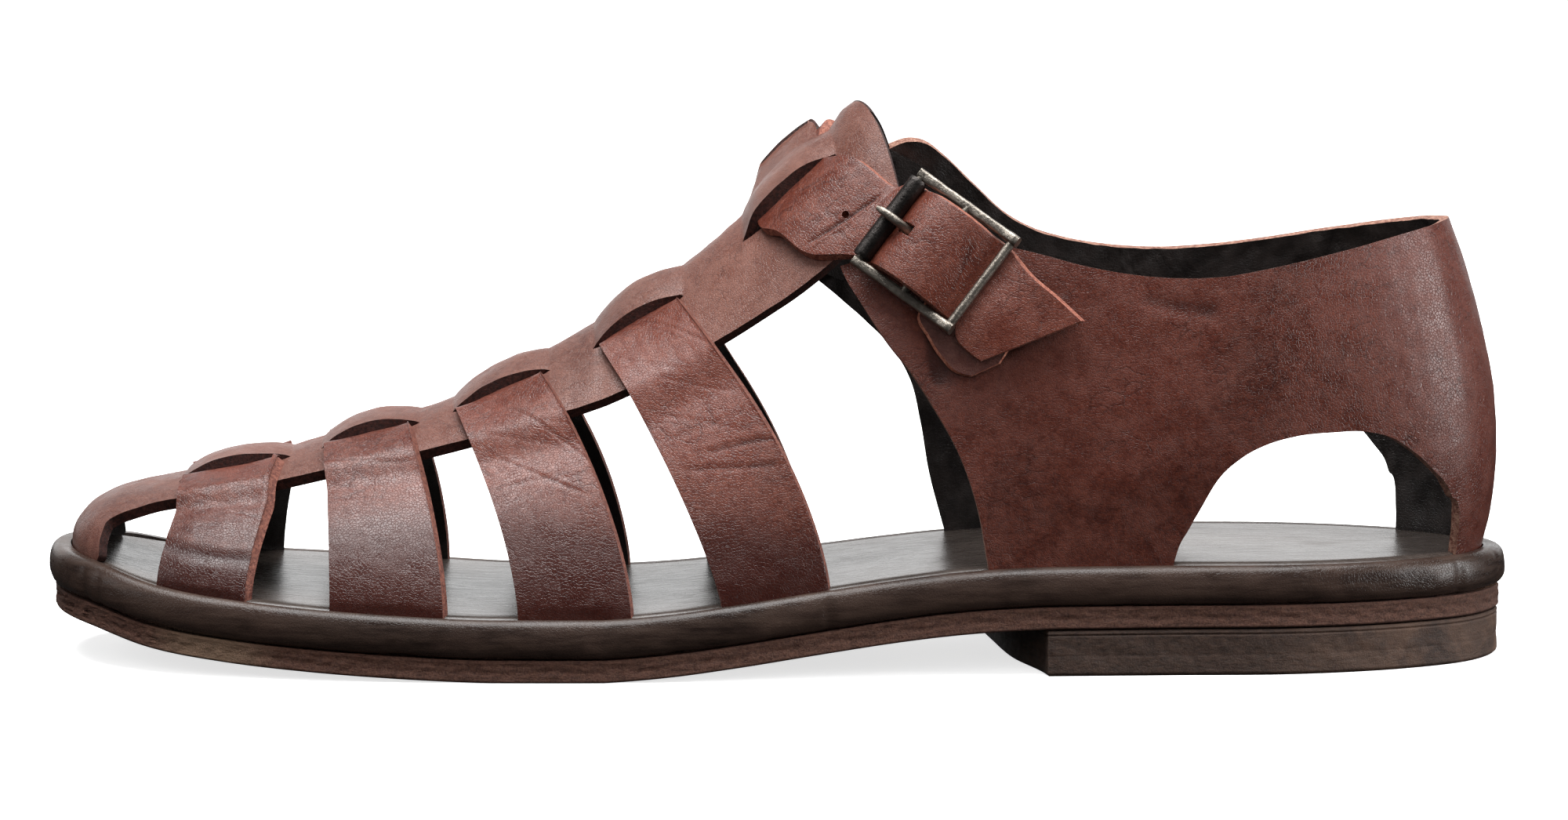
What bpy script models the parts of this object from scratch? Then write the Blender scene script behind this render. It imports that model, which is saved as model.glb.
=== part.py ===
"""A left huarache sandal in leather: sole, rand, heel block, insole, woven upper and buckle.

Metres, +Z up. The toe points to -X and the outer (buckle) side of the foot is -Y. The origin is on the
floor, under the middle of the shoe's box.
"""
import bpy
import bmesh
import numpy as np

# Driving dimensions
LENGTH = 0.2925           # toe to heel over the rand
BALL = 0.0960             # greatest width over the rand
INSTEP = 0.1050           # height of the last's ridge over its seat, at the ankle
HEEL = 0.0093             # height of the heel block
OUTSOLE = 0.0044          # thickness of the outsole
RAND = 0.0080             # height of the rand
RAND_WIDTH = 0.0045       # from the rand's outer edge to its seam with the upper
SOLE_STEP = 0.0012        # how far the rand stands proud of the outsole
LEATHER = 0.0020          # wall of the straps and the quarter
SPINE_LEATHER = 0.0023    # wall of the toe piece and spine
SINK = 0.0030             # how deep the upper goes in between rand and insole
GAP = 0.0003              # clearance between neighbours

# The sole's outline: share of LENGTH from the toe, share of BALL across (minus is the outer side)
OUTLINE = (
    (0.000, 0.060), (0.012, -0.140), (0.040, -0.262), (0.085, -0.358), (0.150, -0.425),
    (0.240, -0.474), (0.340, -0.488), (0.430, -0.480), (0.530, -0.447), (0.640, -0.405),
    (0.760, -0.382), (0.850, -0.365), (0.925, -0.288), (0.978, -0.165), (1.000, 0.010),
    (0.980, 0.170), (0.930, 0.285), (0.855, 0.360), (0.760, 0.370), (0.640, 0.345),
    (0.540, 0.352), (0.440, 0.400), (0.330, 0.462), (0.235, 0.508), (0.150, 0.482),
    (0.085, 0.412), (0.040, 0.325), (0.012, 0.222),
)

# Height of the outsole's under side: share of LENGTH, share of HEEL
SPRING = (
    (0.000, 1.05), (0.040, 0.85), (0.075, 0.57), (0.130, 0.33), (0.183, 0.19), (0.237, 0.09),
    (0.310, 0.00), (0.385, 0.00), (0.430, 0.11), (0.473, 0.28), (0.538, 0.58), (0.575, 0.74),
    (0.620, 0.89), (0.680, 0.99), (0.720, 1.00), (1.000, 1.00),
)

# The last: share of LENGTH, ridge height over the seat as a share of INSTEP, roundness of the section,
# place of the ridge as a share of BALL
SECTIONS = (
    (0.020, 0.010, 1.90, 0.050), (0.034, 0.060, 1.90, 0.048), (0.055, 0.105, 1.80, 0.044),
    (0.105, 0.170, 1.70, 0.035), (0.155, 0.216, 1.65, 0.028), (0.195, 0.258, 1.62, 0.024),
    (0.270, 0.330, 1.57, 0.020), (0.310, 0.380, 1.55, 0.022), (0.354, 0.448, 1.53, 0.028),
    (0.394, 0.512, 1.52, 0.035), (0.440, 0.585, 1.52, 0.042), (0.468, 0.638, 1.55, 0.046),
    (0.505, 0.718, 1.65, 0.052), (0.556, 0.832, 1.76, 0.058), (0.610, 0.915, 1.80, 0.056),
    (0.670, 1.000, 1.90, 0.040), (0.715, 1.120, 2.00, 0.020), (0.770, 1.290, 2.00, 0.000),
    (0.850, 1.650, 2.00, -0.010), (1.000, 2.200, 2.00, -0.010),
)

# How far the ankle part leans in: height over the seat as a share of INSTEP, then metres at the waist of
# the shoe and at the back of the heel
LEAN = ((0.00, 0.0000, 0.0000), (0.08, -0.0002, -0.0019), (0.17, -0.0003, -0.0029), (0.28, 0.0004, -0.0024),
        (0.40, 0.0017, 0.0002), (0.55, 0.0040, 0.0046), (0.64, 0.0062, 0.0083), (0.80, 0.0110, 0.0150))
LEAN_FROM, WAIST, HEEL_FROM = 0.60, 0.75, 0.84


def smooth_table(rows):
    """Smooth curve through a table's rows: the first column is where, the others are the values."""
    rows = np.array(rows, float)
    at, value = rows[:, 0], rows[:, 1:]
    slope = np.gradient(value, at, axis=0)

    def read(where, column=0):
        where = np.clip(np.asarray(where, float), at[0], at[-1])
        k = np.clip(np.searchsorted(at, where, side="right") - 1, 0, len(at) - 2)
        step = at[k + 1] - at[k]
        t = (where - at[k]) / step
        v, m = value[:, column], slope[:, column]
        return ((2 * t**3 - 3 * t**2 + 1) * v[k] + (t**3 - 2 * t**2 + t) * step * m[k]
                + (3 * t**2 - 2 * t**3) * v[k + 1] + (t**3 - t**2) * step * m[k + 1])

    return read


def ease(t):
    """0 below 0, 1 above 1, and a soft step between."""
    t = np.clip(t, 0.0, 1.0)
    return t * t * (3.0 - 2.0 * t)


def closed_outline(rows, count):
    """Even points along a smooth closed curve through the rows, its box centred on the origin."""
    p = np.array(rows, float) * (LENGTH, BALL) - (LENGTH / 2, 0.0)
    step = np.linalg.norm(np.roll(p, -1, 0) - p, axis=1) ** 0.5
    at = np.concatenate([[0.0], np.cumsum(step)])
    wrapped = np.concatenate([p[-3:], p, p[:4]])
    where = np.concatenate([at[-4:-1] - at[-1], at[:-1], at[:4] + at[-1]])
    read = smooth_table(np.column_stack([where, wrapped]))
    fine = np.linspace(0.0, at[-1], 4 * count, endpoint=False)
    c = np.column_stack([read(fine, 0), read(fine, 1)])
    walk = np.concatenate([[0.0], np.cumsum(np.linalg.norm(np.roll(c, -1, 0) - c, axis=1))])
    c = np.concatenate([c, c[:1]])
    even = np.linspace(0.0, walk[-1], count, endpoint=False)
    c = np.column_stack([np.interp(even, walk, c[:, 0]), np.interp(even, walk, c[:, 1])])
    return c - (c.min(0) + c.max(0)) / 2


def outward(c):
    """Unit normals of a closed outline that runs from the toe along its outer side first."""
    t = np.roll(c, -1, 0) - np.roll(c, 1, 0)
    t /= np.linalg.norm(t, axis=1)[:, None]
    return np.column_stack([t[:, 1], -t[:, 0]])


RIM = closed_outline(OUTLINE, 1600)
RIM_NORMAL = outward(RIM)
section = smooth_table(SECTIONS)
spring = smooth_table(SPRING)
lean = smooth_table(LEAN)
LAST_INSET = RAND_WIDTH + GAP + LEATHER
TOE_ROUND = 0.020         # length over which stations crowd together at the toe
FAN_FROM, FAN = 0.100, 0.55   # the toe's sections fan out ahead of this share, by this ratio


def share(x):
    return np.asarray(x) / LENGTH + 0.5


def sole_bottom(x):
    return np.maximum(spring(share(x)) * HEEL, 0.0)


def seat(x):
    """Height of the insole's top, which is also the seam of rand and upper."""
    return sole_bottom(x) + OUTSOLE + RAND


def inset_rim(inset):
    return RIM - RIM_NORMAL * inset


def rim_sides(inset):
    """The inset outline as two tables of x and y, outer side and inner side, from toe to heel."""
    c = inset_rim(inset)
    toe, heel = np.argmin(c[:, 0]), np.argmax(c[:, 0])
    c = np.roll(c, -toe, 0)
    heel = (heel - toe) % len(c)
    return c[:heel + 1], np.concatenate([c[heel:], c[:1]])[::-1]


SIDES = rim_sides(LAST_INSET)
TOE_X = SIDES[0][0, 0]


def foot_y(x, side, sides=SIDES):
    """Where the outline is at x, on the outer side (-1) or the inner side (+1)."""
    c = sides[0] if side < 0 else sides[1]
    return np.interp(x, c[:, 0], c[:, 1])


def station(x):
    """Stations crowd at the toe, where the outline turns across; otherwise they are metres along."""
    d = np.maximum(np.asarray(x, float) - TOE_X, 0.0)
    return np.where(d < TOE_ROUND / 2, np.sqrt(2 * TOE_ROUND * d), d + TOE_ROUND / 2)


def station_x(v):
    v = np.maximum(v, 0.0)
    return TOE_X + np.where(v < TOE_ROUND, v * v / (2 * TOE_ROUND), v - TOE_ROUND / 2)


def section_inset(s, half, height):
    """How far the last has drawn in from its foot at a height over the seat."""
    tall, n = section(s, 0) * INSTEP, section(s, 1)
    rise = np.clip(height / tall, 0.0, 1.0)
    oval = half * (1.0 - (1.0 - rise**n) ** (1.0 / n))
    h = height / INSTEP
    waist = lean(h, 0) + (lean(h, 1) - lean(h, 0)) * ease((s - HEEL_FROM) / (1.0 - HEEL_FROM))
    return oval + (waist - oval) * ease((s - LEAN_FROM) / (WAIST - LEAN_FROM))


def last_point(v, g, side):
    """Point of the last: v is the station, g goes from 0 at the seat to 1 on the ridge."""
    v, g = np.broadcast_arrays(np.asarray(v, float), np.asarray(g, float))
    x = station_x(v)
    y = foot_y(x, side)
    fan_x = (FAN_FROM - 0.5) * LENGTH
    ridge_x = np.where(x < fan_x, fan_x + (x - fan_x) * FAN, x)
    s = share(ridge_x)
    ridge_y = section(s, 2) * BALL
    tall, n = section(s, 0) * INSTEP + seat(ridge_x) - seat(x), section(s, 1)
    a = g * np.pi / 2
    height = tall * np.sin(a) ** (2.0 / n)
    close = np.cos(a) ** (2.0 / n)
    half = np.abs(y - ridge_y)
    oval = half * (1.0 - close)
    h = height / INSTEP
    drawn = oval + (lean(h, 0) - oval) * ease((s - LEAN_FROM) / (WAIST - LEAN_FROM))
    return np.stack([ridge_x + (x - ridge_x) * close, y - side * drawn, seat(x) + height], -1)


def lift_off(surface, u, v, lift, flip):
    """Points a distance out from a surface of two parameters, along its normal."""
    e = 1e-4
    p = surface(u, v)
    du = surface(u + e, v) - surface(np.maximum(u - e, 0.0), v)
    dv = surface(u, np.minimum(v + e, 1.0)) - surface(u, np.maximum(v - e, 0.0))
    n = np.cross(du, dv) * flip
    n /= np.linalg.norm(n, axis=-1)[..., None] + 1e-12
    return p + n * np.asarray(lift)[..., None]


def skin(v, g, side, lift):
    """A point at a height over the last."""
    v, g, lift = np.broadcast_arrays(np.asarray(v, float), np.asarray(g, float), np.asarray(lift, float))
    return lift_off(lambda a, b: last_point(a, b, side), v, g, lift, -side)


def last_station(s):
    return station((np.asarray(s, float) - 0.5) * LENGTH)


# The toe piece and spine, from the tip of the toe to the flap over the instep. Each row is one line across
# it: where its edge stands (share of LENGTH, share of the way from seat to ridge), then its share of LENGTH
# on the ridge.
TIP = float(share(TOE_X))
SPINE = (
    (TIP, 0.00, TIP), (0.027, 0.00, 0.025), (0.036, 0.00, 0.029), (0.0440, 0.00, 0.032),
    (0.0460, 0.05, 0.034), (0.0452, 0.20, 0.0395), (0.0460, 0.41, 0.050), (0.057, 0.505, 0.066),
    (0.074, 0.585, 0.084),
    (0.105, 0.630, 0.110), (0.188, 0.650, 0.188), (0.290, 0.640, 0.290), (0.380, 0.590, 0.380),
    (0.460, 0.580, 0.460), (0.535, 0.550, 0.530), (0.586, 0.575, 0.560),
)
SLIT = 0.47               # how far in from the spine's edge to its ridge the slits lie
TOP_SLIT = 0.55           # the same for the slits of the top loop
TOP_FROM = (0.450, 0.025) # where the slits leave SLIT for TOP_SLIT and how gradually, as shares of LENGTH
SLIT_OPEN = 0.012         # half the width of an open slit, on the same scale
SLIT_LEVEL = 0.79         # share of the way from seat to ridge at which the slits are matched to the straps
SLIT_SPARE = 0.003        # how far a slit runs on past its strap, as a share of LENGTH
ANKLE_SLIT = (0.4852, 0.5378)     # the ankle strap's edges at the top slit, as shares of LENGTH
LOOP_RISE = 0.0026        # how far the loops stand up over the straps
MARGIN_PRESS = 0.0008     # how far a strap presses the spine's margin in
FLAP_LIFT = 0.0014        # how far the end of the flap curls up
FLAP_COLUMNS = 4          # over how many lines it curls
SKIVED = 0.20             # the toe piece is pared down to LEATHER from here to its foot

# The cross straps, as shares of LENGTH: front edge at the outer foot and on the ridge, rear edge at both,
# the bow of the edges between them, and how far the inner foot stands ahead or behind
STRAPS = (
    (0.087, 0.100, 0.149, 0.170, 2.0, 0.004),
    (0.203, 0.195, 0.281, 0.2525, 2.0, -0.013),
    (0.328, 0.281, 0.405, 0.3384, 1.9, -0.009),
    (0.463, 0.3756, 0.536, 0.4287, 1.5, -0.012),
)
LAP = 0.00035             # how far two crossing straps sink into each other where they are joined
LOOP_FLOOR = LOOP_RISE + LAP - LEATHER   # height of a strap's under side over the last inside a loop
MARGIN_LIFT = SPINE_LEATHER - LAP         # the same where it lies on the spine's margin
ANKLE_FLOOR = LOOP_FLOOR + 2 * LAP        # the ankle strap is flat where the last is hollow along the ridge
CLIMB = (0.10, 0.01)      # a strap climbs from the last onto the spine between these distances below its edge
HUMP = 0.0092             # how far the stiff ankle strap pushes the top loop up at its inner slit
HUMP_ENDS = (0.25, 0.78, 1.00)    # the hump is full between the first two shares of the loop, gone at the last

# The ankle strap from the inner quarter over the instep to the buckle: side, front edge (share of LENGTH,
# share of the way to the ridge), rear edge (the same), height of its under side over the last, and how far
# its front and its rear edge are pushed up
ANKLE = (
    (1, 0.545, 0.480, 0.606, 0.600, 0.0001, 0.0000, 0.0000),
    (1, 0.518, 0.580, 0.584, 0.670, 0.0001, 0.0006, 0.0010),
    (1, 0.499, 0.680, 0.556, 0.740, MARGIN_LIFT, 0.0024, 0.0045),
    (1, 0.491, 0.780, 0.542, 0.820, ANKLE_FLOOR, 0.0034, 0.0060),
    (1, 0.490, 0.880, 0.538, 0.890, ANKLE_FLOOR, 0.0014, 0.0028),
    (1, 0.490, 0.995, 0.537, 0.995, ANKLE_FLOOR, 0.0000, 0.0000),
    (-1, 0.492, 0.880, 0.537, 0.890, ANKLE_FLOOR, 0.0000, 0.0000),
    (-1, 0.494, 0.795, 0.539, 0.810, ANKLE_FLOOR, 0.0000, 0.0000),
    (-1, 0.506, 0.690, 0.557, 0.710, MARGIN_LIFT, 0.0000, 0.0000),
    (-1, 0.531, 0.578, 0.585, 0.600, MARGIN_LIFT, 0.0000, 0.0000),
)
TAIL = (
    (-1, 0.622, 0.320, 0.674, 0.365, 0.0043),
    (-1, 0.630, 0.298, 0.690, 0.318, 0.0042),
    (-1, 0.637, 0.283, 0.706, 0.272, 0.0041),
)
ANKLE_WIDTH = 0.0188      # width of the ankle strap inside the buckle

# The quarter. Front edges: height over the seat as a share of INSTEP, share of LENGTH at the outer side and
# at the inner side
FRONT_EDGE = (
    (0.00, 0.6415, 0.6170), (0.12, 0.6335, 0.6060), (0.22, 0.6210, 0.6000), (0.31, 0.6035, 0.5920),
    (0.375, 0.5890, 0.5790), (0.43, 0.5745, 0.5620), (0.50, 0.5590, 0.5380), (0.56, 0.5470, 0.5170),
    (0.63, 0.5400, 0.5000), (0.80, 0.5300, 0.4900),
)
# Collar: share of LENGTH at the foot of the wall, height over the seat as a share of INSTEP at both sides
COLLAR = (
    (0.490, 0.560, 0.595), (0.515, 0.565, 0.640), (0.545, 0.575, 0.700), (0.580, 0.595, 0.767),
    (0.594, 0.603, 0.773), (0.605, 0.605, 0.762), (0.616, 0.604, 0.735), (0.636, 0.596, 0.676),
    (0.657, 0.587, 0.617), (0.678, 0.573, 0.581), (0.700, 0.556, 0.561), (0.723, 0.542, 0.549),
    (0.767, 0.528, 0.540), (0.799, 0.530, 0.545), (0.832, 0.545, 0.556), (0.885, 0.574, 0.580),
    (0.940, 0.603, 0.605), (1.000, 0.624, 0.624),
)
# The arch-shaped cut-outs: share of LENGTH at the foot, height over the seat as a share of INSTEP
ARCH = (
    (0.7660, 0.000), (0.7700, 0.030), (0.7770, 0.062), (0.7860, 0.102), (0.7990, 0.157), (0.8140, 0.195),
    (0.8300, 0.220), (0.8480, 0.235), (0.8710, 0.241), (0.8950, 0.240), (0.9080, 0.230), (0.9200, 0.208),
    (0.9350, 0.167), (0.9480, 0.114), (0.9545, 0.055), (0.9560, 0.000),
)
ARCH_INNER_END = 0.9300   # where the inner side's cut-out ends
FRONT_REACH = 0.065       # how far back the quarter's columns follow its slanted front edge

# The buckle, around its own centre: along the strap, across it, and out from the foot
BUCKLE_AT = (0.6105, 0.4600)      # share of LENGTH, share of the way from seat to ridge
BUCKLE_ROLLER_AT = (0.5805, 0.5400)
BUCKLE_KEEPER_AT = (0.6395, 0.3850)
BUCKLE_LIFT = 0.0072      # height of the frame's plane over the last
BUCKLE_LENGTH = 0.0225    # from the roller's axis to the keeper bar's
BUCKLE_CLEAR = 0.0196     # clear width between the side bars
SIDE_BAR = 0.0019         # width of a side bar
SIDE_BAR_TALL = 0.0017
BAR = 0.0018              # diameter of the front, centre and keeper bars
LUG = 0.0016              # radius of the lugs that hold the keeper bar
ROLLER = 0.0038           # diameter of the roller
PRONG = 0.0018            # diameter of the prong
CHAPE_LEATHER = 0.0010
CHAPE_WIDTH = 0.0150


MERGE = 2e-6              # corners nearer than this are one corner
CRUMB = 1e-9              # cubic metres: a shell smaller than this is no piece of its own


def link(mesh_name, vertices, faces):
    """Make an object of vertices and faces, with faces turned outwards."""
    mesh = bpy.data.meshes.new(mesh_name)
    mesh.from_pydata([tuple(p) for p in vertices], [], [tuple(int(i) for i in f) for f in faces])
    form = bmesh.new()
    form.from_mesh(mesh)
    bmesh.ops.remove_doubles(form, verts=form.verts, dist=1e-7)
    bmesh.ops.recalc_face_normals(form, faces=form.faces)
    form.to_mesh(mesh)
    form.free()
    piece = bpy.data.objects.new(mesh_name, mesh)
    bpy.context.scene.collection.objects.link(piece)
    return piece


def grid_faces(rows, columns, around=False):
    """Quads of a grid of points, row by row."""
    last = columns if around else columns - 1
    return [(r * columns + c, r * columns + (c + 1) % columns,
             (r + 1) * columns + (c + 1) % columns, (r + 1) * columns + c)
            for r in range(rows - 1) for c in range(last)]


def wall(name, inner, outer, quads):
    """A closed solid between two sheets that share their faces: both skins, and a rim on every open edge."""
    count = len(inner)
    faces = [tuple(f) for f in quads] + [tuple(count + i for i in reversed(f)) for f in quads]
    edges = {}
    for f in quads:
        for a, b in zip(f, f[1:] + f[:1]):
            if a != b:
                edges[(a, b)] = True
    for a, b in edges:
        if (b, a) not in edges:
            faces.append((b, a, count + a, count + b))
    faces = [tuple(dict.fromkeys(f)) for f in faces]
    return link(name, np.concatenate([inner, outer]), [f for f in faces if len(f) > 2])


def shells(form):
    """The separate closed shells of a mesh, each as a list of its corners."""
    left = set(form.verts)
    while left:
        shell = [left.pop()]
        for vert in shell:
            for edge in vert.link_edges:
                near = edge.other_vert(vert)
                if near in left:
                    left.remove(near)
                    shell.append(near)
        yield shell


def fill_pockets(form):
    """Fill a pocket sealed between two joined layers, whose shell has a negative volume, and drop a crumb that
    a cut leaves."""
    for shell in list(shells(form)):
        volume = 0.0
        for face in {f for vert in shell for f in vert.link_faces}:
            a = face.verts[0].co
            for b, c in zip(face.verts[1:-1], face.verts[2:]):
                volume += a.dot(b.co.cross(c.co)) / 6
        if volume < CRUMB:
            bmesh.ops.delete(form, geom=shell, context="VERTS")


def boolean(piece, other, operation):
    """Join another object to a piece or cut it away, and keep the result as the piece's mesh."""
    change = piece.modifiers.new(operation.lower(), "BOOLEAN")
    change.operation = operation
    change.solver = "EXACT"
    change.object = other
    piece.data = bpy.data.meshes.new_from_object(
        piece.evaluated_get(bpy.context.evaluated_depsgraph_get()))
    piece.modifiers.clear()
    bpy.data.objects.remove(other)
    form = bmesh.new()
    form.from_mesh(piece.data)
    bmesh.ops.remove_doubles(form, verts=form.verts, dist=MERGE)
    bmesh.ops.dissolve_degenerate(form, edges=form.edges, dist=MERGE)
    fill_pockets(form)
    form.to_mesh(piece.data)
    form.free()
    return piece


# The sole's pieces
def across_stations(sides, count, start=None, end=None):
    """Stations along an outline, crowded at its ends, and its y at both sides."""
    start = sides[0][0, 0] if start is None else start
    end = sides[0][-1, 0] if end is None else end
    x = start + (end - start) * (0.5 - 0.5 * np.cos(np.linspace(0.0, np.pi, count)))
    return x, foot_y(x, -1, sides), foot_y(x, 1, sides)


def plate(name, inset, bottom, top, count):
    """A flat piece of the sole: the inset outline between two heights that vary along the shoe."""
    x, outer_y, inner_y = across_stations(rim_sides(inset), count)
    low, high = bottom(x), top(x)
    ring = [np.column_stack(c) for c in ((x, outer_y, low), (x, inner_y, low), (x, inner_y, high),
                                         (x, outer_y, high))]
    points = np.stack(ring, 1).reshape(-1, 3)
    faces = grid_faces(count, 4, around=True) + [(0, 1, 2, 3), tuple(4 * count - 4 + i for i in range(4))]
    return link(name, points, faces)


def make_outsole():
    return plate("outsole", SOLE_STEP, sole_bottom, lambda x: sole_bottom(x) + OUTSOLE, 60)


# Breast of the heel: share of BALL across, share of LENGTH along
BREAST = ((-0.45, 0.684), (-0.34, 0.678), (-0.14, 0.660), (0.11, 0.648), (0.40, 0.637))
HEEL_STEP = 0.0016        # how far the heel block stands inside the rand


def make_heel_block():
    """The stacked heel, cut off square to the floor along its breast line."""
    breast = smooth_table(BREAST)
    c = inset_rim(HEEL_STEP)
    back = c[c[:, 0] / LENGTH + 0.5 > breast(c[:, 1] / BALL)]
    order = np.argsort(np.arctan2(back[:, 1], back[:, 0] - back[:, 0].min() - 0.03))
    edge = back[order][np.linspace(0, len(back) - 1, 56).astype(int)]
    across = np.linspace(edge[-1, 1], edge[0, 1], 8)[1:-1]
    front = np.column_stack([(breast(across / BALL) - 0.5) * LENGTH, across])
    outline = np.concatenate([edge, front])
    count = len(outline)
    low = np.column_stack([outline, np.zeros(count)])
    high = np.column_stack([outline, sole_bottom(outline[:, 0]) - GAP])
    faces = [(i, (i + 1) % count, count + (i + 1) % count, count + i) for i in range(count)]
    faces += [tuple(range(count)), tuple(count + i for i in range(count))]
    return link("heel_block", np.concatenate([low, high]), faces)


# Section of the rand: inset from its outer edge as a share of RAND_WIDTH, height as a share of RAND
RAND_SECTION = ((1.00, 0.00), (0.25, 0.00), (0.00, 0.30), (0.06, 0.70), (0.40, 0.98), (1.00, 0.98))


def make_rand():
    """The wrapped welt: a rounded section carried round the outline."""
    count = 108
    pick = np.round(np.linspace(0, len(RIM), count, endpoint=False)).astype(int)
    base = sole_bottom(RIM[pick][:, 0]) + OUTSOLE + GAP
    points = []
    for inward, up in RAND_SECTION:
        c = RIM[pick] - RIM_NORMAL[pick] * inward * RAND_WIDTH
        points.append(np.column_stack([c, base + up * (RAND - GAP)]))
    points = np.stack(points, 1).reshape(-1, 3)
    rows = len(RAND_SECTION)
    faces = [(i * rows + j, i * rows + (j + 1) % rows, (i + 1) % count * rows + (j + 1) % rows,
              (i + 1) % count * rows + j) for i in range(count) for j in range(rows)]
    return link("rand", points, faces)


# The upper's pieces
def edge_curves(count):
    """The spine's edge and ridge stations at even steps through its table."""
    rows = np.array(SPINE, float)
    table = np.column_stack([last_station(rows[:, 0]), rows[:, 1], last_station(rows[:, 2])])
    ahead = np.maximum(np.abs(np.diff(table[:, 0])), np.diff(table[:, 2]))
    walk = np.concatenate([[0.0], np.cumsum(np.hypot(ahead, 0.05 * np.diff(table[:, 1])))])
    read = smooth_table(np.column_stack([walk, table]))
    at = np.linspace(0.0, walk[-1], count)
    return read(at, 0), np.maximum(read(at, 1), 0.0), read(at, 2)


def spine_edge_height(v):
    """Where the spine's edge stands, as a share of the way from seat to ridge, behind the toe piece."""
    rows = np.array(SPINE[9:], float)
    return smooth_table(np.column_stack([last_station(rows[:, 0]), rows[:, 1]]))(v)


def slit_height(v):
    edge = spine_edge_height(v)
    return edge + (1.0 - edge) * SLIT


def strap_station(strap, b, g, side):
    """Station of a cross strap's line: b is 0 at its front edge and 1 at its rear edge."""
    front, front_ridge, rear, rear_ridge, bow, inner_shift = STRAPS[strap]
    rise = np.sin(g * np.pi / 2) ** bow
    shift = inner_shift * (1.0 - rise) if side > 0 else 0.0
    s = (front + (front_ridge - front) * rise) * (1 - b) + (rear + (rear_ridge - rear) * rise) * b + shift
    return last_station(s)


def slit_spans():
    """Start and end of each slit, as shares of LENGTH: four under the straps and one for the ankle strap."""
    spans = [tuple(float(share(station_x(strap_station(k, b, SLIT_LEVEL, -1)))) for b in (0.0, 1.0))
             for k in range(len(STRAPS))]
    spans.append(ANKLE_SLIT)
    return [(a - SLIT_SPARE, b + SLIT_SPARE) for a, b in spans]


def make_spine():
    """Toe piece and spine as one wall, slit along both sides of each loop, with the loops standing up."""
    columns = 56
    edge_v, edge_g, ridge_v = edge_curves(columns)
    slit = SLIT + (TOP_SLIT - SLIT) * ease((share(station_x(ridge_v)) - TOP_FROM[0]) / TOP_FROM[1])
    half = [0.0 * slit, slit / 2, slit - SLIT_OPEN, slit + SLIT_OPEN, (1 + slit) / 2]
    across = half + [1.0 + 0.0 * slit] + half[::-1]
    sides = [-1] * 6 + [1] * 5
    centre = [3, 4, 5, 6, 7]
    rise = np.zeros(columns)
    for start, end in slit_spans():
        t = (share(station_x(ridge_v)) - start) / (end - start)
        rise = np.where((t > 0) & (t < 1), np.sin(np.clip(t, 0, 1) * np.pi) ** 0.7, rise)
    rise[-2:] = 0.0
    start, end = slit_spans()[-1]
    t = np.clip((share(station_x(ridge_v)) - start) / (end - start), 0.0, 1.0)
    hump = HUMP * ease(t / HUMP_ENDS[0]) * ease((HUMP_ENDS[2] - t) / (HUMP_ENDS[2] - HUMP_ENDS[1]))
    curl = FLAP_LIFT * ease((np.arange(columns) - columns + FLAP_COLUMNS) / (FLAP_COLUMNS - 1))
    inner, outer = [], []
    for k, (f, side) in enumerate(zip(across, sides)):
        v = edge_v + (ridge_v - edge_v) * f
        g = edge_g + (1.0 - edge_g) * f
        g = np.minimum(g, 1.0)
        pressed = -MARGIN_PRESS * rise * (f / slit)
        lift = (LOOP_RISE * rise if k in centre else pressed) + curl * f
        raised = hump * ((1.0 - f) / (1.0 - slit)) ** 1.3 if k in centre and side > 0 else 0.0 * hump
        thick = LEATHER + (SPINE_LEATHER - LEATHER) * ease(g / SKIVED)
        inner.append(skin(v, g, side, lift) + np.outer(raised, (0, 0, 1)))
        outer.append(skin(v, g, side, lift + thick) + np.outer(raised, (0, 0, 1)))
    inner, outer = np.stack(inner), np.stack(outer)
    index = np.arange(11 * columns).reshape(11, columns)
    closed = rise <= 0.0
    index[3][closed] = index[2][closed]
    index[7][closed] = index[8][closed]
    index[6:, 0] = index[[4, 2, 2, 1, 0], 0]
    quads = []
    for r in (0, 1, 3, 4, 5, 6, 8, 9):
        for c in range(columns - 1):
            quads.append((index[r, c], index[r, c + 1], index[r + 1, c + 1], index[r + 1, c]))
    # The toe piece's foot goes on down between rand and insole
    base = np.flatnonzero(edge_g <= 1e-6)
    extra_in, extra_out = [], []
    for row in (0, 10):
        extra_in.append(inner[row][base] - (0, 0, SINK))
        extra_out.append(outer[row][base] - (0, 0, SINK))
    start = inner.shape[0] * columns
    n = len(base)
    near, far = start + np.arange(n), start + n + np.arange(n)
    far[0] = near[0]
    for c in range(n - 1):
        quads.append((near[c], near[c + 1], index[0, base[c + 1]], index[0, base[c]]))
        quads.append((index[10, base[c]], index[10, base[c + 1]], far[c + 1], far[c]))
    inner = np.concatenate([inner.reshape(-1, 3)] + extra_in)
    outer = np.concatenate([outer.reshape(-1, 3)] + extra_out)
    return compact_wall("spine", inner, outer, quads)


def compact_wall(name, inner, outer, quads):
    """A wall of only the points that its faces use."""
    quads = [tuple(int(i) for i in f) for f in quads]
    quads = [tuple(dict.fromkeys(f)) for f in quads]
    quads = [f for f in quads if len(f) > 2]
    used = sorted({i for f in quads for i in f})
    place = {i: k for k, i in enumerate(used)}
    return wall(name, inner[used], outer[used], [tuple(place[i] for i in f) for f in quads])


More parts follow.
